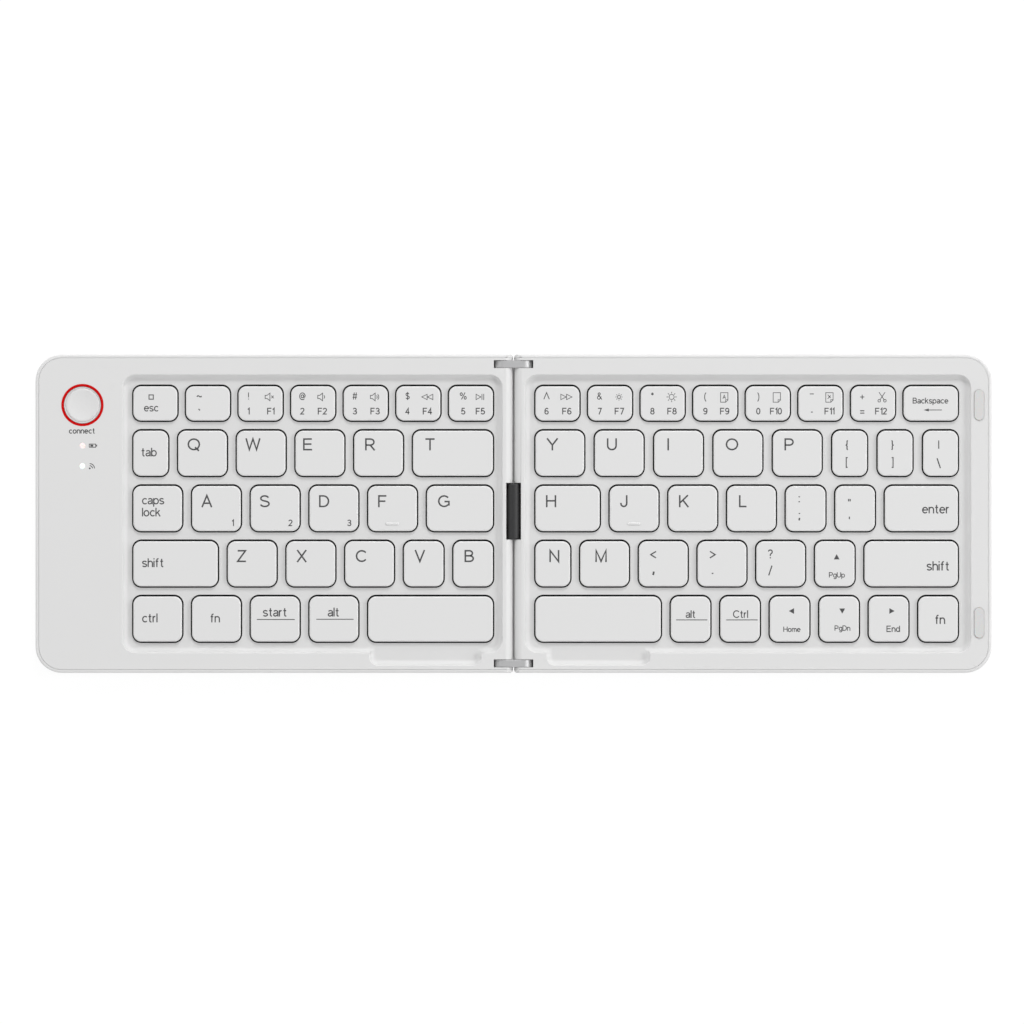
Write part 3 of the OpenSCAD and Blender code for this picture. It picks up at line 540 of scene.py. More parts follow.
# ---- Keycaps ----
# Every cap is a thin white moulding with a skirt, a flat top and a rounded upper edge, clipped to
# its scissor from above. All come from one rule, a rounded block stretched to the key's own size.

class Shape(Tree):
    """A Geometry Nodes tree with named inputs for its sizes."""

    def __init__(self, name, **sizes):
        group = bpy.data.node_groups.new(name, "GeometryNodeTree")
        super().__init__(group)
        group.interface.new_socket("Geometry", in_out="INPUT", socket_type="NodeSocketGeometry")
        group.interface.new_socket("Geometry", in_out="OUTPUT", socket_type="NodeSocketGeometry")
        self.keys = {}
        for label, default in sizes.items():
            kind = "NodeSocketMaterial" if default is None else "NodeSocketFloat"
            socket = group.interface.new_socket(label.replace("_", " "), in_out="INPUT", socket_type=kind)
            if default is not None:
                socket.default_value = default
            self.keys[label] = socket.identifier
        self.entry = group.nodes.new("NodeGroupInput")
        self.exit = group.nodes.new("NodeGroupOutput")

    def size(self, label):
        return Value(self, self.entry.outputs[label.replace("_", " ")])

    def points(self):
        return Value(self, self.entry.outputs["Geometry"])

    def join(self, *pieces):
        whole = self.node("GeometryNodeJoinGeometry", {})
        for piece in pieces:
            self.tree.links.new(piece.socket, whole.socket.node.inputs[0])
        return whole

    def placed(self, geometry, **place):
        return self.node("GeometryNodeTransform", {}, Geometry=geometry, **place)

    def end(self, geometry):
        """Real meshes, not instances, with their material."""
        real = self.node("GeometryNodeRealizeInstances", {}, geometry)
        coated = self.node("GeometryNodeSetMaterial", {}, Geometry=real, Material=self.size("Material"))
        self.tree.links.new(coated.socket, self.exit.inputs[0])

    def made_from(self, name, vertices, fields, body, **sizes):
        """Runs the tree on points that carry the fields, and leaves a plain mesh that rides on body."""
        seed = bpy.data.meshes.new(name + "_points")
        seed.from_pydata(vertices, [], [])
        for label, numbers in fields.items():
            seed.attributes.new(label, "FLOAT", "POINT").data.foreach_set("value", numbers)
        carrier = in_scene(name + "_carrier", seed)
        modifier = carrier.modifiers.new(name, "NODES")
        modifier.node_group = self.tree
        for label, value in sizes.items():
            modifier[self.keys[label]] = value
        carrier.update_tag()
        graph = bpy.context.evaluated_depsgraph_get()
        mesh = bpy.data.meshes.new_from_object(carrier.evaluated_get(graph))
        mesh.name = name
        bpy.data.objects.remove(carrier)
        piece = in_scene(name, mesh)
        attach(piece, body)
        return piece


def grown(shape, mesh, top, lift, share):
    """One step of a cap's wall: its top face rises by lift and is scaled by share."""
    step = shape.node("GeometryNodeExtrudeMesh", {"mode": "FACES"}, Mesh=mesh, Selection=top,
                      Offset=(0.0, 0.0, 1.0), Offset_Scale=lift, Individual=False)
    top = step.out("Top")
    return shape.node("GeometryNodeScaleElements", {}, Geometry=step, Selection=top, Scale=share), top


def keycap_rule():
    """Rounded block: a turned blank whose quarters move out to the corners of each key."""
    k = Shape("keycap", Corner=2.5 * MM, Edge=0.45 * MM, Wall=0.8 * MM, Skirt=5.4 * MM, Top=7.6 * MM,
              Roof=6.8 * MM, Material=None)
    corner, edge, wall = k.size("Corner"), k.size("Edge"), k.size("Wall")
    inner = corner - wall
    blank = k.node("GeometryNodeMeshCircle", {"fill_type": "NGON"}, Vertices=48, Radius=inner)
    blank = k.placed(blank, Rotation=(0.0, 0.0, math.radians(3.75)))
    blank = k.node("GeometryNodeSetPosition", {}, Geometry=blank, Offset=k.xyz(Z=k.size("Skirt")))
    everything = k.node("FunctionNodeInputBool", {"boolean": True})
    hollow, _ = grown(k, blank, everything, k.size("Roof") - k.size("Skirt"), 1.0)
    hollow = k.node("GeometryNodeFlipFaces", {}, hollow)
    cap, top = grown(k, blank, everything, 0.0, corner / inner)
    cap, top = grown(k, cap, top, k.size("Top") - k.size("Skirt") - edge, 1.0)
    radius = corner
    for step in range(1, 5):
        a, b = math.radians(22.5 * step), math.radians(22.5 * (step - 1))
        after = corner - edge * (1 - math.cos(a))
        cap, top = grown(k, cap, top, edge * (math.sin(a) - math.sin(b)), after / radius)
        radius = after
    body = k.node("GeometryNodeMergeByDistance", {}, Geometry=k.join(cap, hollow), Distance=1e-6)
    where = k.node("GeometryNodeInputPosition", {})
    side = k.node("ShaderNodeVectorMath", {"operation": "SIGN"}, where)
    body = k.node("GeometryNodeStoreNamedAttribute", {"data_type": "FLOAT_VECTOR", "domain": "POINT"},
                  Geometry=body, Name="side", Value=side)
    placed = k.node("GeometryNodeInstanceOnPoints", {}, Points=k.points(), Instance=body)
    placed = k.node("GeometryNodeRealizeInstances", {}, placed)
    wide = k.node("GeometryNodeInputNamedAttribute", {"data_type": "FLOAT"}, "wide")
    deep = k.node("GeometryNodeInputNamedAttribute", {"data_type": "FLOAT"}, "deep")
    reach = k.xyz(X=wide * 0.5 - corner, Y=deep * 0.5 - corner)
    side = k.node("GeometryNodeInputNamedAttribute", {"data_type": "FLOAT_VECTOR"}, "side")
    moved = k.node("ShaderNodeVectorMath", {"operation": "MULTIPLY"}, side, reach)
    k.end(k.node("GeometryNodeSetPosition", {}, Geometry=placed, Offset=moved))
    return k


keycap = keycap_rule()
# below the web a cap's colour is painted near-black, painted shade for the gap round it, and its rounded edge
# is polished by use
web_top = cap_top - CAP_RISE
worn_and_painted_shade = Finish("keycap_white", IOR=1.5)
grain = worn_and_painted_shade.noise(0.11, 3.0)
apart = worn_and_painted_shade.parts(worn_and_painted_shade.place)
# painted shade: a share from 0 at web_top to 1 at 0.3 mm below it, which mixes the colour towards near-black
deep = worn_and_painted_shade.node("ShaderNodeClamp", {}, Value=(web_top - apart.out("Z")) / (0.3 * MM))
tilt = 1.0 - worn_and_painted_shade.parts(worn_and_painted_shade.node("ShaderNodeNewGeometry").out("Normal")).out("Z")
edge = worn_and_painted_shade.node("ShaderNodeClamp", {}, Value=tilt * 12.0)
pale = worn_and_painted_shade.blend(grain, (0.742, 0.742, 0.742), (0.722, 0.722, 0.720))
worn_and_painted_shade.feed(Base_Color=worn_and_painted_shade.node("ShaderNodeMix", {"data_type": "RGBA"}, deep, pale, (0.03, 0.03, 0.03, 1.0)),
          Roughness=grain * 0.16 + 0.32 - edge * 0.14, Normal=worn_and_painted_shade.relief(grain, 0.004))
rear_gap = 0.12 * MM  # how much wider the gap behind a cap is than the gap in front of it
for node, found in caps.items():
    piece = keycap.made_from(
        node + "_caps", [(c.x, c.y - rear_gap / 2, 0.0) for c, _, _ in found],
        {"wide": [s.x for _, s, _ in found], "deep": [s.y - rear_gap for _, s, _ in found]},
        bodies[node], Material=worn_and_painted_shade.material, Top=cap_top, Skirt=found[0][2] - found[0][1].z, Roof=cap_roof)
    even_shading(piece)
    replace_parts(piece, node)

# The F and J caps carry a low bar each for the forefingers, moulded with the cap.
for node, which in (("asdf_keys", 3), ("jkl_keys", 0)):
    centre, size, top = caps[node][which]
    bar = keycap.made_from(node + "_finger_bar", [(centre.x - 0.1 * MM, centre.y - 4.85 * MM, 0.0)],
                           {"wide": [4.1 * MM], "deep": [0.8 * MM]}, bodies[node],
                           Material=worn_and_painted_shade.material, Corner=0.39 * MM, Edge=0.25 * MM, Wall=0.2 * MM,
                           Skirt=top - 0.1 * MM, Top=top + 0.3 * MM, Roof=top - 0.05 * MM)
    even_shading(bar)


# ---- Printing on the caps and beside the button ----
# Letters, digits and plain signs are pad printed in dark grey ink, a hundredth of a millimetre
# thick. Each cap's marks ride with its cap. Places are in millimetres from its rear left corner.

ink = Finish("printed_ink", IOR=1.5)
ink.coat(ink.noise(0.12, 3.0), (0.050, 0.050, 0.052), (0.080, 0.080, 0.082), 0.45, 0.15, 0.002)
INK_LIFT = 0.012 * MM

# Pen strokes of a plain sans serif with capitals 10 high, a character to a line. A stroke is a run of
# points "x,y" and of arcs "x,y,rx,ry,from,to" in degrees, and "/" starts the next stroke.
STROKES = dict(row.split(" ", 1) for row in r"""
A 0.2,0 4.2,9.7 8.2,0 / 1.7,3.3 6.7,3.3
B 4,5.2 0.6,5.2 / 4,7.3,2.5,2.1,-90,90 0.6,9.4 0.6,0.6 4.3,0.6 4.3,2.9,2.9,2.3,-90,90 4,5.2
C 5,5,4.4,4.4,40,320
D 3.6,0.6 0.6,0.6 0.6,9.4 3.6,9.4 3.6,5,4.2,4.4,90,-90
E 7.4,0.6 0.6,0.6 0.6,9.4 7.2,9.4 / 0.6,5.2 6.9,5.2
F 0.6,0 0.6,9.4 6.8,9.4 / 0.6,5 6,5
G 5,5,4.5,4.4,42,318 9,2 9,4.7 5.3,4.7
H 0.6,0 0.6,10 / 7.8,0 7.8,10 / 0.6,5.3 7.8,5.3
I 0.6,0 0.6,10
J 5.4,10 5.4,3.1 3,3.1,2.4,2.5,0,-180 0.6,3.6
K 0.6,0 0.6,10 / 7.4,10 0.6,3.4 / 3.2,5.9 7.8,0
L 0.6,10 0.6,0.6 6.2,0.6
M 0.6,0 0.6,9.7 4.7,0.6 8.8,9.7 8.8,0
N 0.6,0 0.6,9.6 7.6,0.4 7.6,10
O 5.2,5,4.6,4.4,0,360
P 0.6,0 0.6,9.4 4.2,9.4 4.2,6.9,2.9,2.5,90,-90 0.6,4.4
Q 5.2,5,4.6,4.4,0,360 / 6.2,2.6 9.4,-0.4
R 0.6,0 0.6,9.4 4.4,9.4 4.4,6.9,2.9,2.5,90,-90 0.6,4.4 / 4.2,4.4 7.9,0
S 4.1,7.35,3.2,2.05,15,255 4.2,2.8,3.6,2.2,75,-165
T 0,9.4 7.6,9.4 / 3.8,9.4 3.8,0
U 0.6,10 0.6,3.8 4.1,3.8,3.5,3.2,180,360 7.6,10
V 0.2,10 4,0.5 7.8,10
W 0.2,10 2.9,0.6 5.9,9.5 8.9,0.6 11.6,10
X 0.3,10 7.7,0 / 7.7,10 0.3,0
Y 0,10 4.4,4.4 8.8,10 / 4.4,4.6 4.4,0
Z 0.5,9.4 6.9,9.4 0.5,0.6 7.3,0.6
0 3.3,5,2.7,4.4,0,360
1 0.7,7.4 3,9.5 3,0
2 3.3,7,2.7,2.4,165,-35 0.8,0.6 6.3,0.6
3 3.2,7.3,2.5,2.1,160,-90 3.3,2.9,2.8,2.3,90,-165
4 4.7,0 4.7,9.4 0.6,3 6.6,3
5 5.8,9.4 1.6,9.4 0.9,5 3.2,3.2,2.8,2.6,130,-160
6 3.4,3.1,2.7,2.5,0,360 / 3.9,5,3.2,4.4,50,190
7 0.5,9.4 6.2,9.4 2.4,0
8 3.3,7.3,2.3,2.1,0,360 / 3.3,2.9,2.8,2.3,0,360
9 3.2,6.9,2.7,2.5,0,360 / 2.7,5,3.2,4.4,-130,10
a 3.2,4.9,2.5,1.8,155,0 5.7,0 / 5.7,4.2 2.6,3.6 2.6,2.05,1.95,1.55,90,290 5.7,2.2
b 0.6,10 0.6,0 / 3.5,3.6,2.9,3.1,0,360
c 3.6,3.6,3,3.1,45,315
d 6.2,10 6.2,0 / 3.4,3.6,2.8,3.1,0,360
e 0.7,3.8 6.5,3.8 3.6,3.6,2.95,3.1,5,318
f 1.6,0 1.6,8 3.2,8,1.6,1.5,180,90 3.8,9.5 / 0,6.6 3.4,6.6
g 6.2,7.2 6.2,-0.4 3.5,-0.4,2.7,2,0,-150 / 3.4,3.6,2.8,3.1,0,360
h 0.6,10 0.6,0 / 0.6,4.2 3.2,4.2,2.6,2.5,180,0 5.8,0
i 0.6,7.2 0.6,0 / 0.6,10 0.6,8.7
k 0.6,10 0.6,0 / 5.2,7.2 0.6,2.8 / 2.6,4.7 5.8,0
l 0.6,10 0.6,0
m 0.6,7.2 0.6,0 / 0.6,4.4 2.7,4.4,2.1,2.3,180,0 4.8,0 / 4.8,4.4 6.9,4.4,2.1,2.3,180,0 9,0
n 0.6,7.2 0.6,0 / 0.6,4.2 3.2,4.2,2.6,2.5,180,0 5.8,0
o 3.6,3.6,3,3.1,0,360
p 0.6,7.2 0.6,-2.8 / 3.5,3.6,2.9,3.1,0,360
r 0.6,7.2 0.6,0 / 0.6,3.8 3,4,2.4,2.7,180,80
s 3,5.2,2.3,1.5,20,255 3,2,2.5,1.5,75,-160
t 1.7,9.4 1.7,1.8 2.9,1.8,1.2,1.3,180,270 3.7,0.5 / 0,6.6 3.5,6.6
! 0.6,10 0.6,3 / 0.6,1.3 0.6,0
" 0.6,10 0.6,7 / 2.6,10 2.6,7
# 2.3,10 1,0 / 5.5,10 4.2,0 / 0,6.8 6.6,6.8 / -0.3,3.2 6.3,3.2
$ 3.1,7.2,2.4,1.9,20,255 3.2,2.9,2.7,2,75,-165 / 3.2,10.8 3.2,-0.8
% 2,7.6,1.6,2,0,360 / 8,2.4,1.6,2,0,360 / 7.8,10 2.2,0
& 7.4,0 1.9,6.6 3.3,8,1.6,1.5,215,-35 2.2,4.9 2.9,2.6,2.3,2.2,110,300 6.6,4.4
' 0.6,10 0.6,7
( 4.6,3.6,4,7.2,118,242
) -1.4,3.6,4,7.2,62,-62
* 2,10 2,6 / 0.3,9 3.7,7 / 3.7,9 0.3,7
+ 0,3.6 6.4,3.6 / 3.2,0.4 3.2,6.8
, 0.8,1.2 0.8,0 0.1,-2.2
- 0,3.6 3,3.6
. 0.6,1.1 0.6,-0.1
/ 0,0 3.6,10
: 0.6,7.2 0.6,6 / 0.6,1.2 0.6,0
; 0.6,7.2 0.6,6 / 0.6,1.2 0.6,0 0.1,-1.8
< 6,7.4 0.4,4.2 6,1
= 0,5.6 7,5.6 / 0,2 7,2
> 0.4,7.4 6,4.2 0.4,1
? 3,7.4,2.4,2.1,170,-60 3,4.2 3,2.8 / 3,1.3 3,0
@ 4.9,4.6,1.9,2.1,0,360 / 6.9,6.8 6.7,3 8.6,3.4 5,4.6,4.3,4.9,10,315
[ 2.6,10 0.6,10 0.6,-2.8 2.6,-2.8
\ 0,10 3.6,0
] 0,10 2,10 2,-2.8 0,-2.8
^ 0,0.4 4.2,9.8 8.4,0.4
_ 0,8 6,8
` 0.2,10 2,8
{ 3,-2.8 1.9,-1.8 1.9,2.4 0.6,3.6 1.9,4.8 1.9,9 3,10
| 0.6,10 0.6,-0.6
} 0,-2.8 1.1,-1.8 1.1,2.4 2.4,3.6 1.1,4.8 1.1,9 0,10
~ 0,3.2 0.9,4.5 2.4,4.5 4.2,3.2 5.6,3.2 6.4,4.4
""".strip().split("\n"))


def arc(x, y, rx, ry, start, end):
    """Points along part of an ellipse, about one every 22 degrees."""
    steps = max(4, int(abs(end - start) / 22))
    turns = [math.radians(start + (end - start) * i / steps) for i in range(steps + 1)]
    return [(x + rx * math.cos(a), y + ry * math.sin(a)) for a in turns]


def pen_strokes(letter):
    strokes = []
    for run in STROKES[letter].split(" / "):
        points = []
        for token in run.split():
            numbers = [float(n) for n in token.split(",")]
            points += arc(*numbers) if len(numbers) == 6 else [tuple(numbers)]
        strokes.append(points)
    return strokes


class Print:
    """Marks on one level surface, collected into one mesh."""

    def __init__(self, left, rear, level):
        self.left, self.rear, self.level = left, rear, level
        self.vertices, self.faces, self.layer = [], [], 0

    def add(self, points, faces):
        """Each stroke lies a hair above the last, so that no two share a plane."""
        start, self.layer = len(self.vertices), (self.layer + 1) % 5
        for x, y in points:
            self.vertices.append((self.left + x * MM, self.rear - y * MM,
                                  self.level + INK_LIFT + self.layer * 0.0006 * MM))
        self.faces += [tuple(start + i for i in f) for f in faces]

    def line(self, points, thick=0.22, closed=False):
        """A pen line through points: a strip with mitred corners."""
        points = [p for i, p in enumerate(points) if not i or math.dist(p, points[i - 1]) > 1e-4]
        count = len(points)
        left, right = [], []
        for i, (x, y) in enumerate(points):
            before = points[i - 1] if i or closed else (2 * x - points[1][0], 2 * y - points[1][1])
            after = (points[(i + 1) % count] if i + 1 < count or closed
                     else (2 * x - points[-2][0], 2 * y - points[-2][1]))
            a = Vector((x - before[0], y - before[1])).normalized()
            b = Vector((after[0] - x, after[1] - y)).normalized()
            n = Vector((-a.y - b.y, a.x + b.x))
            n = n.normalized() if n.length > 1e-6 else Vector((-a.y, a.x))
            n *= thick / 2 / max(0.35, n.dot(Vector((-a.y, a.x))))
            left.append((x + n.x, y + n.y))
            right.append((x - n.x, y - n.y))
        steps = range(count if closed else count - 1)
        self.add(left + right, [(i, (i + 1) % count, count + (i + 1) % count, count + i) for i in steps])

    def word(self, text, high, x, y, align=0.0, pen=None, narrow=None):
        """Text with capitals high millimetres tall on a baseline y from the rear edge; align 0 starts
        it at x, 0.5 centres it there and 1 ends it there. Small print is bolder and set closer."""
        pen = pen or (1.3 if high > 3.5 else 1.2 if high > 2.9 else 1.35 if high > 2.3 else 1.55)
        gap = 0.95 if high > 3.5 else 0.55
        letters, at = [], 0.0
        for letter in text:
            strokes = pen_strokes(letter)
            low = min(p[0] for s in strokes for p in s)
            wide = max(p[0] for s in strokes for p in s) - low
            letters.append((strokes, at + pen / 2 - low))
            at += wide + pen + gap
        k = high / 10
        narrow = narrow or (1.0 if high > 3.5 else 0.93)
        start = x - align * (at - gap) * k * narrow
        for strokes, place in letters:
            for points in strokes:
                shut = math.dist(points[0], points[-1]) < 0.01
                placed = [(start + (px + place) * k * narrow, y - py * k)
                          for px, py in (points[:-1] if shut else points)]
                self.line(placed, pen * k, shut)

    def solid(self, points):
        self.add(points, [tuple(range(len(points)))])

    def finish(self, name, body):
        piece = mesh_piece(name, self.vertices, self.faces, ink, body)
        tidy = bmesh.new()
        tidy.from_mesh(piece.data)
        for face in tidy.faces:
            if face.normal.z < 0:
                face.normal_flip()
        tidy.to_mesh(piece.data)
        tidy.free()
        return piece


def loop(x, y, r):
    return arc(x, y, r, r, 0, 360)[:-1]


def box(left, rear, right, front):
    return [(left, rear), (right, rear), (right, front), (left, front)]


def sun(p, x, y, r, ray):
    p.line(loop(x, y, r), 0.2, closed=True)
    for i in range(8):
        c, s = math.cos(i * math.pi / 4), math.sin(i * math.pi / 4)
        p.line([(x + c * d, y + s * d) for d in (r + 0.3, r + 0.3 + ray)])


def speaker(p, x, y, waves):
    p.line([(x + u, y + v) for u, v in ((-1.35, -0.5), (-0.75, -0.5), (0.15, -1.2), (0.15, 1.2), (-0.75, 0.5),
                                        (-1.35, 0.5))], closed=True)
    for i in range(waves):
        p.line(arc(x + 0.1, y, 0.7 + 0.5 * i, 0.7 + 0.5 * i, -45, 45))
    if not waves:
        p.line([(x + 0.6, y - 0.4), (x + 1.3, y + 0.4)])
        p.line([(x + 0.6, y + 0.4), (x + 1.3, y - 0.4)])


def pointer(p, x, y, w, h=0.85):
    """Outlined arrow head, to the right where w is positive."""
    p.line([(x - w / 2, y - h), (x + w / 2, y), (x - w / 2, y + h)], 0.2, closed=True)


def page(p, x, y, fold=0.7):
    p.line([(x - 1.15, y - 1.5), (x + 1.15, y - 1.5), (x + 1.15, y + 1.5 - fold), (x + 1.15 - fold, y + 1.5),
            (x - 1.15, y + 1.5)], 0.2, closed=True)
    p.line([(x + 1.1 - fold, y + 1.4), (x + 1.1 - fold, y + 1.4 - fold), (x + 1.1, y + 1.4 - fold)], 0.16)


def sign(p, kind, x, y):
    """The small signs over the function numbers."""
    if kind in ("mute", "quieter", "louder"):
        speaker(p, x, y, ("mute", "quieter", "louder").index(kind))
    elif kind in ("back", "forward"):
        for dx in (-0.9, 0.9):
            pointer(p, x + dx, y, 1.7 if kind == "forward" else -1.7)
    elif kind == "play":
        pointer(p, x - 0.45, y, 1.5)
        for dx in (0.65, 1.2):
            p.line([(x + dx, y - 0.95), (x + dx, y + 0.95)])
    elif kind == "dim":
        sun(p, x, y, 0.5, 0.32)
    elif kind == "bright":
        sun(p, x, y, 0.8, 0.5)
    elif kind == "cut":
        for dx in (-1, 1):
            p.line([(x + 0.95 * dx, y - 1.5), (x - 0.65 * dx, y + 0.9)])
            p.line(loop(x + 0.9 * dx, y + 1.2, 0.4), closed=True)
    else:
        page(p, x, y + 0.15)
        if kind == "all":
            p.word("A", 1.2, x, y + 0.6, 0.5)
        if kind == "paste":
            p.line([(x - 0.55, y - 0.7), (x + 0.35, y + 0.3)])
            p.line([(x - 0.55, y + 0.6), (x + 0.35, y - 0.5)])


def number_key(upper, lower, function, kind, x):
    def marks(p):
        p.word(upper, 2.2, x, 4.3, 0.5, 1.2)
        p.word(lower, 2.05, x, 9.0, 0.5)
        p.word(function, 2.05, 11.35, 9.0, 1.0)
        sign(p, kind, 9.75, 3.5)
    return marks


def number_row(uppers, lowers, first, kinds, places):
    return [number_key(upper, lower, f"F{first + i}", kind, x)
            for i, (upper, lower, kind, x) in enumerate(zip(uppers, lowers, kinds.split(), places))]


def big(letter, x, y, digit):
    """One large letter, and on some caps a small digit in the corner."""
    def marks(p):
        p.word(letter, 3.8, x, y)
        if digit:
            p.word(digit, 2.0, 13.2, 12.75, 1.0)
    return marks


def bigs(letters, y, *lefts, digits=""):
    return [big(letter, x, y, digits[i:i + 1]) for i, (letter, x) in enumerate(zip(letters, lefts))]


def pair(upper, lower, x, rows, high):
    def marks(p):
        for text, y, tall in zip((upper, lower), rows, high):
            p.word(text, tall, x, y, 0.5, 1.8 if text in ",.:;" else None)
    return marks


def small(text, x, y, high, align=0.0):
    return lambda p: p.word(text, high, x, y, align)


def over_line(text, x, y, high, line):
    def marks(p):
        p.word(text, high, x, y, 0.5)
        p.line([(line[0], line[2]), (line[1], line[2])], 0.26)
    return marks


def escape(p):
    p.line(box(4.95, 2.85, 6.3, 4.2), 0.3, closed=True)
    p.word("esc", 2.35, 5.65, 8.05, 0.5, None, 0.92)


def backspace(p):
    p.word("Backspace", 1.8, 8.45, 5.55, 0.5)
    p.line([(7.4, 7.6), (12.05, 7.6)], 0.24)
    p.solid([(6.25, 7.6), (7.9, 7.15), (7.9, 8.05)])


def caps_lock(p):
    p.word("caps", 2.7, 2.75, 5.9)
    p.word("lock", 2.7, 2.75, 9.7)


def arrow(turn, x, y, under, at, base, high=1.65):
    def marks(p):
        c, s = math.cos(math.radians(turn)), math.sin(math.radians(turn))
        head = ((0.9, 0.0), (-0.75, 0.9), (-0.75, -0.9))
        p.solid([(x + c * u - s * v, y - s * u - c * v) for u, v in head])
        p.word(under, high, at, base, 0.5)
    return marks


marks_of = {
    "left_number_keys": [escape, pair("~", "`", 4.2, (4.25, 9.7), (2.45, 2.45))] + number_row(
        "!@#$%", "12345", 1, "mute quieter louder back play", (3.15, 3.55, 3.5, 3.55, 4.5)),
    "right_number_keys": number_row("^&*()_+", "67890-=", 6, "forward dim bright all copy paste cut",
                                    (3.5, 3.65, 3.7, 3.8, 3.9, 4.2, 3.5)),
    "backspace_key": [backspace], "tab_key": [small("tab", 2.45, 8.2, 2.7)],
    "qwer_keys": bigs("QWER", 6.32, 2.98, 2.68, 2.39, 3.43), "t_key": bigs("T", 6.32, 3.69),
    "yuiop_keys": bigs("YUIOP", 6.32, 3.4, 3.8, 4.16, 3.81, 3.62),
    "bracket_keys": [pair("{", "[", 4.6, (5.5, 11.0), (2.3, 2.4)),
                     pair("}", "]", 4.6, (5.5, 11.0), (2.3, 2.4)),
                     pair("|", "\\", 4.9, (5.65, 11.9), (2.45, 3.1))],
    "caps_lock_key": [caps_lock], "asdf_keys": bigs("ASDF", 6.82, 2.9, 2.85, 3.02, 3.12, digits="123"),
    "g_key": bigs("G", 6.82, 3.47), "h_key": bigs("H", 6.82, 3.31),
    "jkl_keys": bigs("JKL", 6.82, 3.28, 3.31, 3.72),
    "semicolon_keys": [pair(":", ";", 4.2, (5.25, 10.5), (2.6, 2.6)),
                       pair("\"", "'", 4.4, (6.8, 12.4), (2.6, 2.6))],
    "enter_key": [small("enter", 20.3, 8.77, 2.85, 1.0)],
    "left_shift_key": [small("shift", 2.77, 8.27, 2.78)],
    "zxc_keys": bigs("ZXC", 6.69, 2.9, 3.15, 3.31), "vb_keys": bigs("VB", 6.69, 3.34, 3.5),
    "n_key": bigs("N", 6.69, 4.38),
    "m_keys": bigs("M", 6.69, 4.76) + [pair("<", ",", 4.55, (5.7, 10.05), (3.2, 3.2)),
                                       pair(">", ".", 4.7, (5.7, 10.4), (3.2, 3.0)),
                                       pair("?", "/", 4.4, (5.5, 10.9), (2.75, 3.1))],
    "up_key": [arrow(90, 6.8, 5.1, "PgUp", 6.88, 11.55)],
    "right_shift_key": [small("shift", 26.7, 9.34, 2.9, 1.0)],
    "left_control_keys": [small("ctrl", 2.77, 8.28, 2.8), small("fn", 7.23, 8.28, 2.73, 0.5),
                          over_line("start", 7.62, 6.43, 2.8, (1.92, 13.86, 7.37)),
                          over_line("alt", 7.58, 6.43, 2.8, (2.17, 13.9, 7.3))],
    "right_control_keys": [over_line("alt", 6.24, 6.87, 2.4, (1.67, 11.5, 7.5)),
                           over_line("Ctrl", 6.36, 6.87, 2.4, (1.83, 11.75, 7.5)),
                           small("fn", 6.8, 8.79, 2.85, 0.5)],
    "arrow_keys": [arrow(180, 6.87, 4.7, "Home", 6.95, 11.28), arrow(270, 7.2, 4.65, "PgDn", 7.28, 10.9),
                   arrow(0, 7.2, 4.7, "End", 7.67, 11.28, 1.95)],
}
for node, marks in marks_of.items():
    sheet = Print(0.0, 0.0, cap_top)
    for (centre, size, _), draw in zip(caps[node], marks):
        sheet.left, sheet.rear = centre.x - size.x / 2, centre.y + size.y / 2
        draw(sheet)
    sheet.finish(node + "_print", bodies[node])

cover_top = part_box("left_top_cover")[1].z
beside = Print(button_middle.x, button_middle.y, cover_top)
beside.word("connect", 1.72, -0.15, 8.97, 0.5, 1.7)
upper, lower = (-(pipes[i][0].y - button_middle.y) / MM for i in (0, 1))
beside.line(box(2.15, upper - 0.5, 4.15, upper + 0.5), closed=True)
beside.solid(box(2.5, upper - 0.3, 3.4, upper + 0.3))
beside.solid(box(4.3, upper - 0.3, 4.6, upper + 0.3))
beside.solid(loop(2.3, lower + 0.75, 0.28))
for r in (0.85, 1.5):
    beside.line(arc(2.3, lower + 0.75, r, -r, 0, 90), 0.26)
beside.finish("button_print", "left_half")


# ---- Feet and cover screws ----
# Grey silicone feet are bonded into shallow recesses under each half, fine ribs across their faces.
# The covers are held by small black-oxide screws with cross recesses, sunk into the bottom cover.

foot_rubber = Finish("foot_rubber", IOR=1.45)
ribs = foot_rubber.node("ShaderNodeTexWave", {"bands_direction": "X"}, Vector=foot_rubber.place, Scale=520.0)
mottle = foot_rubber.noise(0.5)
foot_rubber.feed(Base_Color=foot_rubber.blend(mottle, (0.33, 0.33, 0.335), (0.27, 0.27, 0.275)),
                 Roughness=foot_rubber.noise(0.3) * 0.15 + 0.6, Normal=foot_rubber.relief(ribs, 0.03))
for node in ("left_feet", "right_feet"):
    finished_copy(node, foot_rubber, bevel_mm=0.2)


def screw_rule():
    """A flat screw head seen from below, with a cross recess, and its shank."""
    s = Shape("cover_screw", Head=1.1 * MM, Thick=0.45 * MM, Shank=0.55 * MM, Length=3.4 * MM,
              Recess=0.62 * MM, Slot=0.2 * MM, Bottom=0.85 * MM, Material=None)
    thick, bottom, length = s.size("Thick"), s.size("Bottom"), s.size("Length")

    def rod(sides, radius, tall, middle):
        made = s.node("GeometryNodeMeshCylinder", {}, Vertices=sides, Radius=radius, Depth=tall)
        return s.placed(made.out("Mesh"), Translation=s.xyz(Z=middle))

    def slot(turn):
        block = s.xyz(X=s.size("Recess") * 2, Y=s.size("Slot"), Z=thick * 1.2)
        made = s.node("GeometryNodeMeshCube", {}, Size=block)
        return s.placed(made.out("Mesh"), Translation=s.xyz(Z=bottom),
                        Rotation=(0.0, 0.0, math.radians(turn)))

    head = s.node("GeometryNodeMeshBoolean", {"operation": "DIFFERENCE", "solver": "EXACT"},
                  Mesh_1=rod(36, s.size("Head"), thick, bottom + thick * 0.5),
                  Mesh_2=s.join(slot(17.0), slot(107.0)))
    whole = s.join(head, rod(20, s.size("Shank"), length, bottom + thick + length * 0.5))
    s.end(s.node("GeometryNodeInstanceOnPoints", {}, Points=s.points(), Instance=whole))
    return s


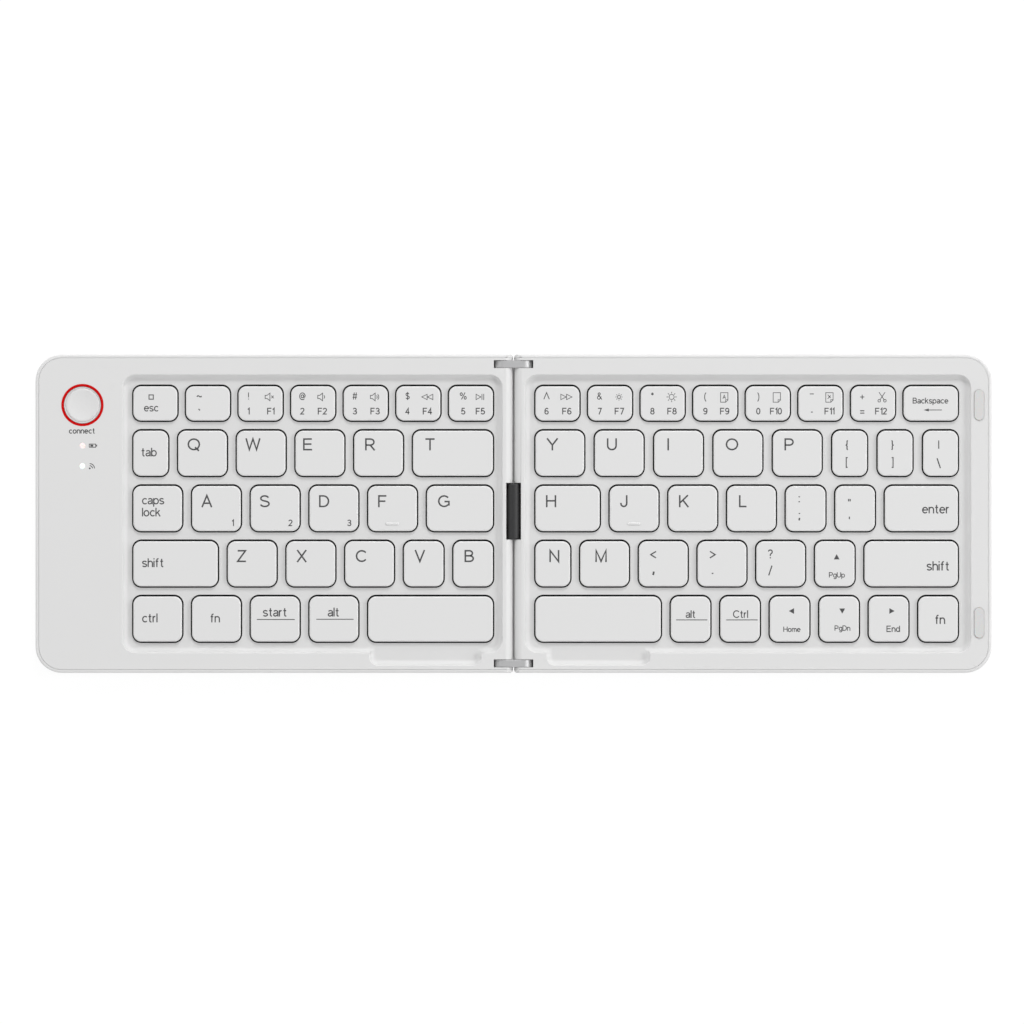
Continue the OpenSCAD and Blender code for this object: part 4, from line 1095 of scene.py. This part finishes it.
screw_steel = Finish("screw_steel", Metallic=1.0)
screw_steel.coat(screw_steel.noise(0.2, 3.0), (0.30, 0.30, 0.31), (0.20, 0.20, 0.21), 0.3, 0.2, 0.004)
cover_screw = screw_rule()
for side in ("left", "right"):
    node = side + "_screws"
    piece = cover_screw.made_from(node + "_heads", [(c.x, c.y, 0.0) for c, _, _ in island_boxes(node)], {},
                                  side + "_half", Material=screw_steel.material)
    even_shading(piece)
    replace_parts(piece, node)


# ---- Studio ----
# A plain pale floor that the keyboard stands on, even light from a pale room and two soft lamps,
# one from the right and a stronger one from the rear, and a long lens looking straight down.

floor_mesh = bpy.data.meshes.new("floor")
floor_mesh.from_pydata([(-6, -6, 0), (6, -6, 0), (6, 6, 0), (-6, 6, 0)], [], [(0, 1, 2, 3)])
floor = in_scene("floor", floor_mesh)
paper = Finish("floor_paper", Roughness=0.9)
paper.feed(Base_Color=paper.blend(paper.noise(40.0), (0.86, 0.86, 0.86), (0.84, 0.84, 0.84)))
seen = paper.node("ShaderNodeLightPath", {})
bright = paper.node("ShaderNodeEmission", {}, Strength=1.06)
kinds = ("Camera", "Glossy", "Transmission")
camera_ray, mirror_ray, through_ray = (seen.out(f"Is {kind} Ray") for kind in kinds)
watched = camera_ray.maths("MAXIMUM", camera_ray, mirror_ray)
watched = watched.maths("MAXIMUM", watched, through_ray)
# where the seam covers it, the floor keeps most of its own shade, so that the line there is dark
spot = paper.parts(paper.place)
open_sky = paper.node("ShaderNodeAmbientOcclusion", {"samples": 8}, Distance=0.02).out("AO")
seam_half, seam_reach = 1.2 * MM, 48.5 * MM
under = (abs(spot.out("X")) < seam_half) * (abs(spot.out("Y")) < seam_reach) * (1.0 - open_sky)
shown = paper.node("ShaderNodeMixShader", {}, watched * (1.0 - under * 0.94) * 0.86,
                   Value(paper, paper.shader.outputs[0]), bright)
paper.tree.links.new(shown.socket, paper.tree.nodes["Material Output"].inputs["Surface"])
floor_mesh.materials.append(paper.material)

room = bpy.data.worlds.new("room")
bpy.context.scene.world = room
room.use_nodes = True
walls = Tree(room.node_tree)
walls.tree.nodes.clear()
seen = walls.node("ShaderNodeLightPath", {})
camera_ray, through_ray = seen.out("Is Camera Ray"), seen.out("Is Transmission Ray")
watched = camera_ray.maths("MAXIMUM", camera_ray, through_ray)
height = walls.parts(walls.node("ShaderNodeTexCoord").out("Generated")).out("Z")
sides, ceiling, white = (walls.node("ShaderNodeBackground", {}, Color=(1.0, 1.0, 1.0, 1.0), Strength=strength)
                         for strength in (1.37, 0.32, 1.0))
glow = walls.node("ShaderNodeMixShader", {}, height.maths("MAXIMUM", height, 0.0), sides, ceiling)
walls.node("ShaderNodeOutputWorld", {}, Surface=walls.node("ShaderNodeMixShader", {}, watched, glow, white))


def soft_lamp(name, place, width, power):
    """A square soft box aimed at the keyboard."""
    lamp = bpy.data.lights.new(name, "AREA")
    lamp.size, lamp.energy = width, power
    holder = in_scene(name, lamp)
    holder.location = place
    holder.rotation_euler = (-Vector(place)).to_track_quat("-Z", "Y").to_euler()


soft_lamp("right_lamp", (1.95, 0.15, 1.55), 0.7, 14.6)
soft_lamp("rear_lamp", (0.15, 1.85, 1.65), 0.7, 21.2)

camera = bpy.data.cameras.new("camera")
camera.lens, camera.sensor_width = 400.0, 36.0
camera.clip_start, camera.clip_end = 0.05, 50.0
view = in_scene("camera", camera)
seen_width, cover_height = 322.56 * MM, 8.2 * MM  # the picture's width at the height of the covers
view.location = (-0.49 * MM, 0.55 * MM, cover_height + seen_width * camera.lens / camera.sensor_width)
bpy.context.scene.camera = view
bpy.context.scene.view_settings.view_transform = "Standard"
